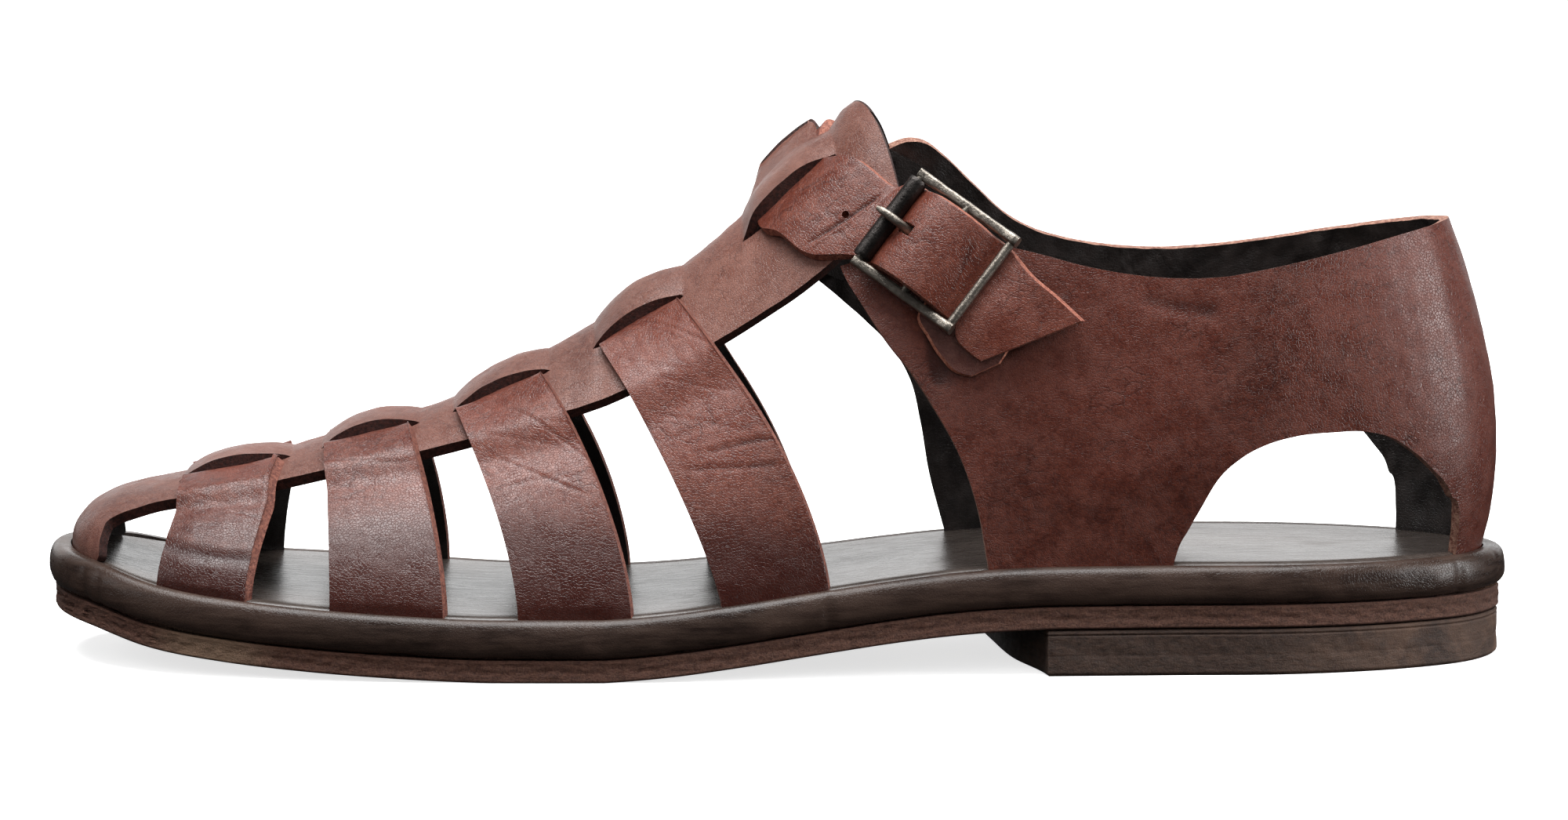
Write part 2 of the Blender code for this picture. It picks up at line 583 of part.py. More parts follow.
def make_strap(k):
    """A cross strap: up from its foot, over the spine's margin, under its centre and down the other side."""
    across = np.linspace(0.0, 1.0, 5)
    rows_in, rows_out = [], []
    # Height up the last in four stretches (foot, rise, margin, loop), and the lift over the last there
    stretches = [(0, 0.0), (0, 0.2), (0, 0.4), (0, 0.6), (0, 0.8), (1, 0.0), (1, 0.35), (1, 0.7), (2, 0.0),
                 (2, 0.5), (3, 0.0), (3, 0.3), (3, 0.6)]
    lifts = (0.0, 0.0, MARGIN_LIFT - MARGIN_PRESS / 4, LOOP_FLOOR, LOOP_FLOOR)
    for side in (-1, 1):
        for stretch, t in (stretches if side < 0 else [(3, 1.0)] + stretches[::-1]):
            g = np.full(5, 0.6)
            for _ in range(3):
                v = strap_station(k, across, g, side)
                edge = spine_edge_height(v)
                stops = (0.0 * edge, edge - CLIMB[0], edge - CLIMB[1], slit_height(v), 1.0 + 0.0 * edge)
                g = stops[stretch] + (stops[stretch + 1] - stops[stretch]) * t
            lift = lifts[stretch] + (lifts[stretch + 1] - lifts[stretch]) * ease(t)
            v = strap_station(k, across, g, side)
            rows_in.append(skin(v, g, side, lift))
            rows_out.append(skin(v, g, side, lift + LEATHER))
    drop = np.array([0.0, 0.0, SINK])
    rows_in = [rows_in[0] - drop] + rows_in + [rows_in[-1] - drop]
    rows_out = [rows_out[0] - drop] + rows_out + [rows_out[-1] - drop]
    quads = grid_faces(len(rows_in), 5)
    return wall("strap", np.concatenate(rows_in), np.concatenate(rows_out), quads)


# The quarter stands on the rim, from its front edge at the outer side round the heel to the inner side
LAST_RIM = inset_rim(LAST_INSET)
RIM_WALK = np.concatenate([[0.0], np.cumsum(np.linalg.norm(np.diff(LAST_RIM, axis=0), axis=1))])
HEEL_WALK = RIM_WALK[np.argmax(LAST_RIM[:, 0])]


def rim_at(walk):
    """Foot point and outward direction at a distance round the last's rim from the toe."""
    read = [np.interp(walk, RIM_WALK, column) for column in (*LAST_RIM.T, *RIM_NORMAL.T)]
    return np.stack(read[:2], -1), np.stack(read[2:], -1)


def walk_to(s, side):
    """Distance round the rim to a share of LENGTH on one side."""
    x = (np.asarray(s, float) - 0.5) * LENGTH
    mine = (RIM_WALK < HEEL_WALK) if side < 0 else (RIM_WALK >= HEEL_WALK)
    order = np.argsort(LAST_RIM[mine, 0])
    return np.interp(x, LAST_RIM[mine, 0][order], RIM_WALK[mine][order])


def quarter_point(walk, h):
    """Point of the last over the rim: walk round it, h the height over the seat as a share of INSTEP."""
    foot, out = rim_at(walk)
    x, y = foot[..., 0], foot[..., 1]
    s = share(x)
    side = np.sign(y + 1e-9)
    turn = ease((s - LEAN_FROM) / (HEEL_FROM - LEAN_FROM))
    square = np.stack([0.0 * y, side], -1)
    out = square + (out - square) * turn[..., None]
    out /= np.linalg.norm(out, axis=-1)[..., None]
    inset = section_inset(s, np.abs(y - section(s, 2) * BALL), h * INSTEP)
    p = foot - out * inset[..., None]
    return np.concatenate([p, (seat(x) + h * INSTEP)[..., None]], -1)


def quarter_skin(walk, h, lift):
    walk, h, lift = np.broadcast_arrays(np.asarray(walk, float), np.asarray(h, float), lift)
    return lift_off(quarter_point, walk, h, lift, 1)


def arch_height(s, side):
    """Height of the cut-out over the seat; nothing where the wall reaches the seat."""
    start, end = ARCH[0][0], ARCH[-1][0]
    last = end if side < 0 else ARCH_INNER_END
    s = start + (s - start) * (end - start) / (last - start)
    return np.where((s > start) & (s < end), np.maximum(smooth_table(ARCH)(s), 0.0), 0.0)


def quarter_columns():
    """Foot of each column of the quarter, as distances round the rim, and its side."""
    front, start = FRONT_EDGE[0], ARCH[0][0]
    near = np.linspace(front[1], start, 8)
    arch = start + (ARCH[-1][0] - start) * (0.5 - 0.5 * np.cos(np.linspace(0, np.pi, 15)))
    inner_arch = start + (ARCH_INNER_END - start) * (0.5 - 0.5 * np.cos(np.linspace(0, np.pi, 15)))
    far = np.linspace(front[2], start, 8)
    outer_walk = np.concatenate([walk_to(near, -1), walk_to(arch[1:], -1)])
    inner_walk = np.concatenate([walk_to(far, 1), walk_to(inner_arch[1:], 1)])[::-1]
    back = np.linspace(outer_walk[-1], inner_walk[0], 11)[1:-1]
    return np.concatenate([outer_walk, back, inner_walk])


def make_quarter():
    """The heel part: one wall round the back of the foot, with its collar, front edges and two cut-outs."""
    walk = quarter_columns()
    foot, _ = rim_at(walk)
    s = share(foot[:, 0])
    side = np.where(walk < HEEL_WALK, -1, 1)
    front = smooth_table(FRONT_EDGE)
    collar = smooth_table(COLLAR)
    start = np.where(side < 0, FRONT_EDGE[0][1], FRONT_EDGE[0][2])
    fade = np.clip(1.0 - (s - start) * LENGTH / FRONT_REACH, 0.0, 1.0)

    def column_share(h):
        edge = np.where(side < 0, front(h, 0), front(h, 1))
        return s + (edge - start) * fade

    top = np.full(len(s), 0.6)
    for _ in range(60):
        here = column_share(top)
        top = 0.6 * top + 0.4 * np.where(side < 0, collar(here, 0), collar(here, 1))
    bottom = np.where(side < 0, arch_height(s, -1), arch_height(s, 1))
    rows = 8
    inner, outer = [], []
    for r in range(rows):
        h = bottom + (top - bottom) * r / (rows - 1)
        at = np.where(side < 0, walk_to(column_share(h), -1), walk_to(column_share(h), 1))
        at = np.where(fade > 0, at, walk)
        inner.append(quarter_skin(at, h, np.zeros(len(s))))
        outer.append(quarter_skin(at, h, np.full(len(s), LEATHER)))
    drop = np.array([0.0, 0.0, SINK])
    columns = len(s)
    quads = grid_faces(rows + 1, columns)
    standing = bottom <= 0.0
    keep = [f for f in quads if f[0] >= columns or (standing[f[0]] and standing[f[1]])]
    return compact_wall("quarter", np.concatenate([inner[0] - drop] + inner),
                        np.concatenate([outer[0] - drop] + outer), keep)


def buckle_axes():
    """The buckle's centre, and its directions: along the strap, up across it, and away from the foot."""
    roller = skin(last_station(BUCKLE_ROLLER_AT[0]), BUCKLE_ROLLER_AT[1], -1, BUCKLE_LIFT)
    keeper = skin(last_station(BUCKLE_KEEPER_AT[0]), BUCKLE_KEEPER_AT[1], -1, BUCKLE_LIFT)
    low = skin(last_station(BUCKLE_AT[0]), BUCKLE_AT[1], -1, 0.0)
    high = skin(last_station(BUCKLE_AT[0]), BUCKLE_AT[1], -1, BUCKLE_LIFT)
    along = (keeper - roller) / np.linalg.norm(keeper - roller)
    out = high - low
    out -= along * (out @ along)
    out /= np.linalg.norm(out)
    return (roller + keeper) / 2, along, np.cross(out, along), out


CENTRE, ALONG, ACROSS, OUT = buckle_axes()


def in_buckle(a, b, c):
    """A point in the buckle's own directions."""
    a, b, c = (np.asarray(q, float)[..., None] for q in np.broadcast_arrays(a, b, c))
    return CENTRE + ALONG * a + ACROSS * b + OUT * c


def on_last(rows):
    """Front and rear edge points of a strap's cross lines on the last."""
    front = [skin(last_station(r[1]), r[2], r[0], r[5]) for r in rows]
    rear = [skin(last_station(r[3]), r[4], r[0], r[5]) for r in rows]
    return np.array(front), np.array(rear)


def ribbon(name, front, rear, thick, count):
    """A strap through cross lines from its front to its rear edge, thick on the side away from the foot."""
    middle = (front + rear) / 2
    walk = np.concatenate([[0.0], np.cumsum(np.linalg.norm(np.diff(middle, axis=0), axis=1))])
    read = smooth_table(np.column_stack([walk, front, rear]))
    at = np.linspace(0.0, walk[-1], count)
    front = np.stack([read(at, k) for k in range(3)], -1)
    rear = np.stack([read(at, k + 3) for k in range(3)], -1)
    along = np.gradient((front + rear) / 2, axis=0)
    out = np.cross(along, rear - front)
    out /= np.linalg.norm(out, axis=1)[:, None]
    lines = [front + (rear - front) * t for t in (0.0, 0.5, 1.0)]
    inner = np.stack(lines, 1).reshape(-1, 3)
    outer = np.stack([line + out * thick for line in lines], 1).reshape(-1, 3)
    return wall(name, inner, outer, grid_faces(count, 3))


# Under side of the ankle strap in the buckle: place along it as a share of BUCKLE_LENGTH, then metres
# further towards its end, and height over the buckle's plane in metres
STRAP_WAVE = (
    (-0.50, 0.0000, -(ROLLER / 2 + GAP + LEATHER)), (-0.50, 0.0016, -0.0041), (-0.50, 0.0038, -0.0015),
    (0.00, -0.0049, 0.0014),
    (0.00, -0.0025, BAR / 2 + 1.5 * GAP + CHAPE_LEATHER), (0.00, 0.0014, BAR / 2 + 1.5 * GAP + CHAPE_LEATHER),
    (0.00, 0.0045, 0.0011), (0.50, -0.0036, -0.0014), (0.50, 0.0000, -(BAR / 2 + GAP + LEATHER)),
)


def make_ankle_strap():
    front, rear = on_last(ANKLE)
    pushed = np.array(ANKLE)[:, 6:]
    front[:, 2] += pushed[:, 0]
    rear[:, 2] += pushed[:, 1]
    wave = np.array(STRAP_WAVE)
    a = wave[:, 0] * BUCKLE_LENGTH + wave[:, 1]
    tail_front, tail_rear = on_last(TAIL)
    front = np.concatenate([front, in_buckle(a, -ANKLE_WIDTH / 2, wave[:, 2]), tail_front])
    rear = np.concatenate([rear, in_buckle(a, ANKLE_WIDTH / 2, wave[:, 2]), tail_rear])
    return ribbon("ankle_strap", front, rear, LEATHER, 56)


def block(name, a, b, c):
    """A block between two corners in the buckle's directions."""
    corners = [in_buckle(x, y, z) for x in a for y in b for z in c]
    faces = [(0, 1, 3, 2), (4, 6, 7, 5), (0, 4, 5, 1), (2, 3, 7, 6), (0, 2, 6, 4), (1, 5, 7, 3)]
    return link(name, corners, faces)


def rod(name, path, radii, sides=12):
    """A round rod along a path in the buckle's directions, with a radius at each point."""
    path = np.array(path, float)
    along = np.gradient(path, axis=0)
    along /= np.linalg.norm(along, axis=1)[:, None]
    guide = np.array([0.0, 0.0, 1.0])
    u = np.cross(along, guide)
    u /= np.linalg.norm(u, axis=1)[:, None]
    w = np.cross(u, along)
    turn = np.linspace(0.0, 2 * np.pi, sides, endpoint=False)
    ring = (path[:, None] + np.asarray(radii)[:, None, None]
            * (u[:, None] * np.cos(turn)[None, :, None] + w[:, None] * np.sin(turn)[None, :, None]))
    points = in_buckle(*ring.reshape(-1, 3).T)
    faces = grid_faces(len(path), sides, around=True)
    faces += [tuple(range(sides)), tuple((len(path) - 1) * sides + i for i in range(sides))]
    return link(name, points, faces)


PRONG_SLOT = (-0.40, -0.19)       # the hole for the prong, as shares of BUCKLE_LENGTH along the strap


def make_upper():
    """Spine, straps, quarter and ankle strap joined where they cross, as one wall."""
    upper = make_spine()
    for k in range(len(STRAPS)):
        boolean(upper, make_strap(k), "UNION")
    boolean(upper, make_quarter(), "UNION")
    boolean(upper, make_ankle_strap(), "UNION")
    slot = block("slot", [q * BUCKLE_LENGTH for q in PRONG_SLOT], (-PRONG / 2 - GAP, PRONG / 2 + GAP),
                 (-0.004, 0.0045))
    boolean(upper, slot, "DIFFERENCE")
    upper.name = "upper"
    return upper


def make_frame():
    """Buckle frame: two side bars, the front and centre bars, and the keeper bar in its two lugs."""
    half = BUCKLE_CLEAR / 2
    ends = (-BUCKLE_LENGTH / 2 - BAR / 2 - GAP, BUCKLE_LENGTH / 2 + GAP)
    tall = SIDE_BAR_TALL / 2
    frame = block("buckle_frame", ends, (half, half + SIDE_BAR), (-tall, tall))
    boolean(frame, block("bar", ends, (-half - SIDE_BAR, -half), (-tall, tall)), "UNION")
    for a in (-BUCKLE_LENGTH / 2, 0.0, BUCKLE_LENGTH / 2):
        reach = half + SIDE_BAR / 2
        path = [(a, -reach, 0.0), (a, reach, 0.0)]
        boolean(frame, rod("bar", path, (BAR / 2, BAR / 2)), "UNION")
    for side in (-1, 1):
        a = BUCKLE_LENGTH / 2
        path = [(a, side * (half + GAP), 0.0), (a, side * (half + SIDE_BAR + GAP), 0.0)]
        boolean(frame, rod("lug", path, (LUG, LUG)), "UNION")
    return frame


def make_roller():
    """The tube that turns on the front bar."""
    half = BUCKLE_CLEAR / 2 - GAP
    a = -BUCKLE_LENGTH / 2
    roller = rod("buckle_roller", [(a, -half, 0.0), (a, half, 0.0)], (ROLLER / 2,) * 2, 20)
    bore = rod("bore", [(a, -half - GAP, 0.0), (a, half + GAP, 0.0)], (BAR / 2 + GAP,) * 2, 20)
    return boolean(roller, bore, "DIFFERENCE")


def make_prong():
    """The prong: a ring on the centre bar and a shank through the strap that rests on the roller."""
    ring_in, ring_out = BAR / 2 + GAP / 2, BAR / 2 + GAP + CHAPE_LEATHER
    half = PRONG / 2
    ring = rod("buckle_prong", [(0.0, -half, 0.0), (0.0, half, 0.0)], (ring_out, ring_out), 16)
    rest = ROLLER / 2 + GAP + half
    front = -BUCKLE_LENGTH / 2
    path = [(-ring_in - half * 0.4, 0.0, 0.0), (0.26 * front, 0.0, 0.0), (0.50 * front, 0.0, 0.0005),
            (0.66 * front, 0.0, 0.0016), (0.82 * front, 0.0, rest - 0.0003), (front, 0.0, rest),
            (1.14 * front, 0.0, rest - 0.0001), (1.24 * front, 0.0, rest - 0.0003)]
    radii = (half, half, half, half, half, half, 0.85 * half, 0.5 * half)
    boolean(ring, rod("shank", path, radii, 10), "UNION")
    bore = rod("bore", [(0.0, -2 * half, 0.0), (0.0, 2 * half, 0.0)], (ring_in, ring_in), 16)
    return boolean(ring, bore, "DIFFERENCE")


CHAPE = (
    (-1, 0.6300, 0.268, 0.650, 0.272, LEATHER + 2 * GAP),
    (-1, 0.6215, 0.278, 0.657, 0.288, LEATHER + 2 * GAP),
    (-1, 0.6100, 0.308, 0.659, 0.325, LEATHER + 2 * GAP),
    (-1, 0.6010, 0.345, 0.654, 0.375, LEATHER + 2 * GAP),
    (-1, 0.5945, 0.380, 0.646, 0.420, LEATHER + 2 * GAP),
)


def make_chape():
    """The tab that ties the buckle to the quarter: flat on it, then round the centre bar and back."""
    front, rear = on_last(CHAPE)
    r = BAR / 2 + GAP / 2 + CHAPE_LEATHER
    turn = np.radians((-90, -135, -180, -225, -270))
    a = np.concatenate([[0.0032], r * np.cos(turn), [0.0010]])
    c = np.concatenate([[-r - 0.0004], r * np.sin(turn), [r]])
    front = np.concatenate([front, in_buckle(a, -CHAPE_WIDTH / 2, c)])[::-1]
    rear = np.concatenate([rear, in_buckle(a, CHAPE_WIDTH / 2, c)])[::-1]
    chape = ribbon("buckle_chape", front, rear, CHAPE_LEATHER, 28)
    reach = PRONG / 2 + GAP
    slot = block("slot", (-0.005, BAR / 2 + CHAPE_LEATHER + 2 * GAP), (-reach, reach), (-0.0026, 0.0035))
    return boolean(chape, slot, "DIFFERENCE")


def foot_spans():
    """Where the upper goes down to the insole: spans of distance round the rim."""
    toe_end = RIM_WALK[-1]
    spans = []
    for k in range(len(STRAPS)):
        for side in (-1, 1):
            x = station_x(strap_station(k, np.array([0.0, 1.0]), 0.0, side))
            spans.append(sorted(walk_to(share(x), side)))
    front, start, end = FRONT_EDGE[0], ARCH[0][0], ARCH[-1][0]
    spans += [(walk_to(front[1], -1), walk_to(start, -1)), (walk_to(end, -1), walk_to(ARCH_INNER_END, 1)),
              (walk_to(start, 1), walk_to(front[2], 1))]
    base = SPINE[4][0] + 0.003
    spans.append((walk_to(base, 1) - toe_end, walk_to(base, -1)))
    return spans


def notch(a, b):
    """A block round one foot of the upper, with clearance, that is cut from the insole's edge."""
    margin = 2 * GAP
    count = max(4, int((b - a) / 0.004) + 2)
    walk = np.linspace(a - margin, b + margin, count) % (RIM_WALK[-1])
    foot, out = rim_at(walk)
    near = foot - out * 2 * GAP
    far = foot + out * (LEATHER + 3 * GAP)
    low = seat(foot[:, 0]) - SINK - 4 * GAP
    high = seat(foot[:, 0]) + SINK
    ring = [np.column_stack(c) for c in ((near, low), (far, low), (far, high), (near, high))]
    faces = grid_faces(count, 4, around=True) + [(0, 1, 2, 3), tuple(4 * count - 4 + i for i in range(4))]
    return link("notch", np.stack(ring, 1).reshape(-1, 3), faces)


def make_insole():
    """The footbed, with a notch in its edge for each foot of the upper."""
    insole = plate("insole", RAND_WIDTH + GAP, lambda x: sole_bottom(x) + OUTSOLE + GAP, seat, 60)
    for a, b in foot_spans():
        boolean(insole, notch(a, b), "DIFFERENCE")
    return insole


def finish(piece, colour, roughness, metallic=0.0):
    """Give a piece its material, and shade its curved faces smooth."""
    material = bpy.data.materials.new(piece.name)
    material.use_nodes = True
    shader = material.node_tree.nodes["Principled BSDF"]
    shader.inputs["Base Color"].default_value = (*colour, 1.0)
    shader.inputs["Roughness"].default_value = roughness
    shader.inputs["Metallic"].default_value = metallic
    piece.data.materials.clear()
    piece.data.materials.append(material)
    piece.data.shade_smooth()
    piece.data.set_sharp_from_angle(angle=np.radians(35))
    return piece


def main():
    for old in list(bpy.data.objects):
        bpy.data.objects.remove(old)
    root = bpy.data.objects.new("sandal", None)
    bpy.context.scene.collection.objects.link(root)
    leather, dark, raw = (0.155, 0.045, 0.032), (0.030, 0.018, 0.014), (0.070, 0.035, 0.024)
    pieces = [
        finish(make_outsole(), raw, 0.75),
        finish(make_heel_block(), raw, 0.60),
        finish(make_rand(), dark, 0.35),
        finish(make_insole(), dark, 0.45),
        finish(make_upper(), leather, 0.42),
        finish(make_frame(), (0.18, 0.17, 0.16), 0.35, 1.0),
        finish(make_roller(), (0.10, 0.095, 0.09), 0.30, 1.0),
        finish(make_prong(), (0.18, 0.17, 0.16), 0.35, 1.0),
        finish(make_chape(), leather, 0.50),
    ]
    for piece in pieces:
        piece.parent = root


main()
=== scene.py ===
# %% [markdown]
# A huarache sandal, dressed piece by piece.
#
# The construction gives every piece its place and size. This notebook gives each one its finished surface:
# leather that has been bent round a last, cut edges, a wrapped rand, a worn sole edge and an aged buckle.
# Units are metres, +Z is up, the toe points to -X and the buckle is on the -Y side.

# %% Load the frame
import bpy
import bmesh
import numpy as np
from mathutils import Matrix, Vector


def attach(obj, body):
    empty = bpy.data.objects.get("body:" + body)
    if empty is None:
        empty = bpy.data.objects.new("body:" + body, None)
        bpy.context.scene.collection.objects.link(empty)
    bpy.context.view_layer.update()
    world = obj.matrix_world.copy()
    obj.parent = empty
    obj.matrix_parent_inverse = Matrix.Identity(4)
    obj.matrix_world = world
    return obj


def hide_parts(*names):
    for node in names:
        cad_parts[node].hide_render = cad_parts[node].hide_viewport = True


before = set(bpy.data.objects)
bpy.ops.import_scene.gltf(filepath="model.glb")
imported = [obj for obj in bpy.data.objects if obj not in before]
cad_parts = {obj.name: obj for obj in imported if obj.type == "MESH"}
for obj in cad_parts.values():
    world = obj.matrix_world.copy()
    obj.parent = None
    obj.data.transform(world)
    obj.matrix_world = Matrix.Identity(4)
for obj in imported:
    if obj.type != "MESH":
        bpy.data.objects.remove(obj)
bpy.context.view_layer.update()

# %% [markdown]
# A shoe takes its shape from a last, a solid foot form. Every strap, panel and edge is a distance over that
# form, so the last is written once, as a function, and all the leather is draped on it. The tables hold
# shares of the driving sizes, one row for each section, as a last maker would note them.

# %% Driving sizes and tables of the last
LENGTH = 0.2925
BALL = 0.0960
INSTEP = 0.1050
HEEL = 0.0093
OUTSOLE = 0.0044
RAND = 0.0080
RAND_WIDTH = 0.0045
SOLE_STEP = 0.0012
LEATHER = 0.0020
SPINE_LEATHER = 0.0023
SINK = 0.0030
GAP = 0.0003

# Share of LENGTH from the toe, share of BALL across (minus is the outer side)
OUTLINE = (
    (0.000, 0.060), (0.012, -0.140), (0.040, -0.262), (0.085, -0.358), (0.150, -0.425),
    (0.240, -0.474), (0.340, -0.488), (0.430, -0.480), (0.530, -0.447), (0.640, -0.405),
    (0.760, -0.382), (0.850, -0.365), (0.925, -0.288), (0.978, -0.165), (1.000, 0.010),
    (0.980, 0.170), (0.930, 0.285), (0.855, 0.360), (0.760, 0.370), (0.640, 0.345),
    (0.540, 0.352), (0.440, 0.400), (0.330, 0.462), (0.235, 0.508), (0.150, 0.482),
    (0.085, 0.412), (0.040, 0.325), (0.012, 0.222),
)

# Share of LENGTH, height of the outsole's under side as a share of HEEL
SPRING = (
    (0.000, 1.05), (0.040, 0.85), (0.075, 0.57), (0.130, 0.33), (0.183, 0.19), (0.237, 0.09),
    (0.310, 0.00), (0.385, 0.00), (0.430, 0.11), (0.473, 0.28), (0.538, 0.58), (0.575, 0.74),
    (0.620, 0.89), (0.680, 0.99), (0.720, 1.00), (1.000, 1.00),
)

# Share of LENGTH, ridge height as a share of INSTEP, roundness, place of the ridge as a share of BALL
SECTIONS = (
    (0.020, 0.010, 1.90, 0.050), (0.034, 0.060, 1.90, 0.048), (0.055, 0.105, 1.80, 0.044),
    (0.105, 0.170, 1.70, 0.035), (0.155, 0.216, 1.65, 0.028), (0.195, 0.258, 1.62, 0.024),
    (0.270, 0.330, 1.57, 0.020), (0.310, 0.380, 1.55, 0.022), (0.354, 0.448, 1.53, 0.028),
    (0.394, 0.512, 1.52, 0.035), (0.440, 0.585, 1.52, 0.042), (0.468, 0.638, 1.55, 0.046),
    (0.505, 0.718, 1.65, 0.052), (0.556, 0.832, 1.76, 0.058), (0.610, 0.915, 1.80, 0.056),
    (0.670, 1.000, 1.90, 0.040), (0.715, 1.120, 2.00, 0.020), (0.770, 1.290, 2.00, 0.000),
    (0.850, 1.650, 2.00, -0.010), (1.000, 2.200, 2.00, -0.010),
)

# Height as a share of INSTEP, lean in metres at the waist and at the back of the heel
LEAN = ((0.00, 0.0000, 0.0000), (0.08, -0.0002, -0.0019), (0.17, -0.0003, -0.0029), (0.28, 0.0004, -0.0024),
        (0.40, 0.0017, 0.0002), (0.55, 0.0040, 0.0046), (0.64, 0.0062, 0.0083), (0.80, 0.0110, 0.0150))
LEAN_FROM, WAIST, HEEL_FROM = 0.60, 0.75, 0.84
LAST_INSET = RAND_WIDTH + GAP + LEATHER
TOE_ROUND = 0.020
FAN_FROM, FAN = 0.100, 0.55


# %% Curves through a table
def smooth_table(rows):
    """Hermite curve through the rows: first column is where, the others are values."""
    rows = np.array(rows, float)
    at, value = rows[:, 0], rows[:, 1:]
    slope = np.gradient(value, at, axis=0)

    def read(where, column=0):
        where = np.clip(np.asarray(where, float), at[0], at[-1])
        k = np.clip(np.searchsorted(at, where, side="right") - 1, 0, len(at) - 2)
        step = at[k + 1] - at[k]
        t = (where - at[k]) / step
        v, m = value[:, column], slope[:, column]
        return ((2 * t**3 - 3 * t**2 + 1) * v[k] + (t**3 - 2 * t**2 + t) * step * m[k]
                + (3 * t**2 - 2 * t**3) * v[k + 1] + (t**3 - t**2) * step * m[k + 1])

    return read


def ease(t):
    """Smoothstep: t squared times (3 - 2t), held at 0 and 1 outside."""
    t = np.clip(t, 0.0, 1.0)
    return t * t * (3.0 - 2.0 * t)


def bump(t):
    """A round hump: exp(-t squared)."""
    return np.exp(-np.square(t))


def near_edge(t, width):
    """1 at an edge and 0 from a width on: (1 - t / width) squared."""
    return np.clip(1 - t / width, 0, 1) ** 2


def walked(points):
    """Distance walked along a run of points, from 0 at the first."""
    return np.concatenate([[0.0], np.cumsum(np.linalg.norm(np.diff(points, axis=0), axis=1))])


def unit(v):
    """Vectors divided by their lengths."""
    return v / np.linalg.norm(v, axis=-1, keepdims=True)


# %% The sole's outline
def closed_outline(rows, count):
    """Even points along a smooth closed curve through the rows, its box centred on the origin."""
    p = np.array(rows, float) * (LENGTH, BALL) - (LENGTH / 2, 0.0)
    step = np.linalg.norm(np.roll(p, -1, 0) - p, axis=1) ** 0.5
    at = np.concatenate([[0.0], np.cumsum(step)])
    wrapped = np.concatenate([p[-3:], p, p[:4]])
    where = np.concatenate([at[-4:-1] - at[-1], at[:-1], at[:4] + at[-1]])
    read = smooth_table(np.column_stack([where, wrapped]))
    fine = np.linspace(0.0, at[-1], 4 * count, endpoint=False)
    c = np.column_stack([read(fine, 0), read(fine, 1)])
    c = np.concatenate([c, c[:1]])
    walk = walked(c)
    even = np.linspace(0.0, walk[-1], count, endpoint=False)
    c = np.column_stack([np.interp(even, walk, c[:, 0]), np.interp(even, walk, c[:, 1])])
    return c - (c.min(0) + c.max(0)) / 2


def outward(c):
    """Unit normals of the closed outline: each tangent turned a quarter."""
    t = unit(np.roll(c, -1, 0) - np.roll(c, 1, 0))
    return np.column_stack([t[:, 1], -t[:, 0]])


RIM = closed_outline(OUTLINE, 1600)
RIM_NORMAL = outward(RIM)
LAST_RIM = RIM - RIM_NORMAL * LAST_INSET
section = smooth_table(SECTIONS)
spring = smooth_table(SPRING)
lean = smooth_table(LEAN)


def share(x):
    """Share of LENGTH from the toe."""
    return np.asarray(x) / LENGTH + 0.5


def sole_bottom(x):
    return np.maximum(spring(share(x)) * HEEL, 0.0)


def seat(x):
    """Height of the footbed, where the last stands."""
    return sole_bottom(x) + OUTSOLE + RAND


def two_runs(c, by):
    """A closed outline as two runs from toe to heel, outer and inner side, parted at the ends of another."""
    toe, heel = np.argmin(by[:, 0]), np.argmax(by[:, 0])
    c = np.roll(c, -toe, 0)
    heel = (heel - toe) % len(c)
    return c[:heel + 1], np.concatenate([c[heel:], c[:1]])[::-1]


SIDES = two_runs(LAST_RIM, LAST_RIM)
TOE_X = SIDES[0][0, 0]
print("outline points", len(RIM), "toe of the last at", round(TOE_X, 4))


# %% The last as a function
def foot_y(x, side):
    c = SIDES[0] if side < 0 else SIDES[1]
    return np.interp(x, c[:, 0], c[:, 1])


def station(x):
    """Distance along the last, stretched at the toe so that even steps follow its round: sqrt(2 r d)."""
    d = np.maximum(np.asarray(x, float) - TOE_X, 0.0)
    return np.where(d < TOE_ROUND / 2, np.sqrt(2 * TOE_ROUND * d), d + TOE_ROUND / 2)


def station_x(v):
    """The way back from a station to x: v squared over 2 r at the toe."""
    v = np.maximum(v, 0.0)
    return TOE_X + np.where(v < TOE_ROUND, v * v / (2 * TOE_ROUND), v - TOE_ROUND / 2)


def last_station(s):
    return station((np.asarray(s, float) - 0.5) * LENGTH)


def last_point(v, g, side):
    """Point of the last. Its section is a superellipse: up = tall sin(a)^(2/n), half = w cos(a)^(2/n)."""
    v, g = np.broadcast_arrays(np.asarray(v, float), np.asarray(g, float))
    x = station_x(v)
    y = foot_y(x, side)
    fan_x = (FAN_FROM - 0.5) * LENGTH
    ridge_x = np.where(x < fan_x, fan_x + (x - fan_x) * FAN, x)
    s = share(ridge_x)
    ridge_y = section(s, 2) * BALL
    tall, n = section(s, 0) * INSTEP + seat(ridge_x) - seat(x), section(s, 1)
    a = g * np.pi / 2
    height = tall * np.sin(a) ** (2.0 / n)
    close = np.cos(a) ** (2.0 / n)
    half = np.abs(y - ridge_y)
    oval = half * (1.0 - close)
    h = height / INSTEP
    drawn = oval + (lean(h, 0) - oval) * ease((s - LEAN_FROM) / (WAIST - LEAN_FROM))
    return np.stack([ridge_x + (x - ridge_x) * close, y - side * drawn, seat(x) + height], -1)


def lift_off(surface, u, v, lift, flip):
    """Point plus lift times the unit normal, the cross product of the two slopes by central differences."""
    e = 1e-4
    p = surface(u, v)
    du = surface(u + e, v) - surface(np.maximum(u - e, 0.0), v)
    dv = surface(u, np.minimum(v + e, 1.0)) - surface(u, np.maximum(v - e, 0.0))
    n = np.cross(du, dv) * flip
    n /= np.linalg.norm(n, axis=-1)[..., None] + 1e-12
    return p + n * np.asarray(lift)[..., None]


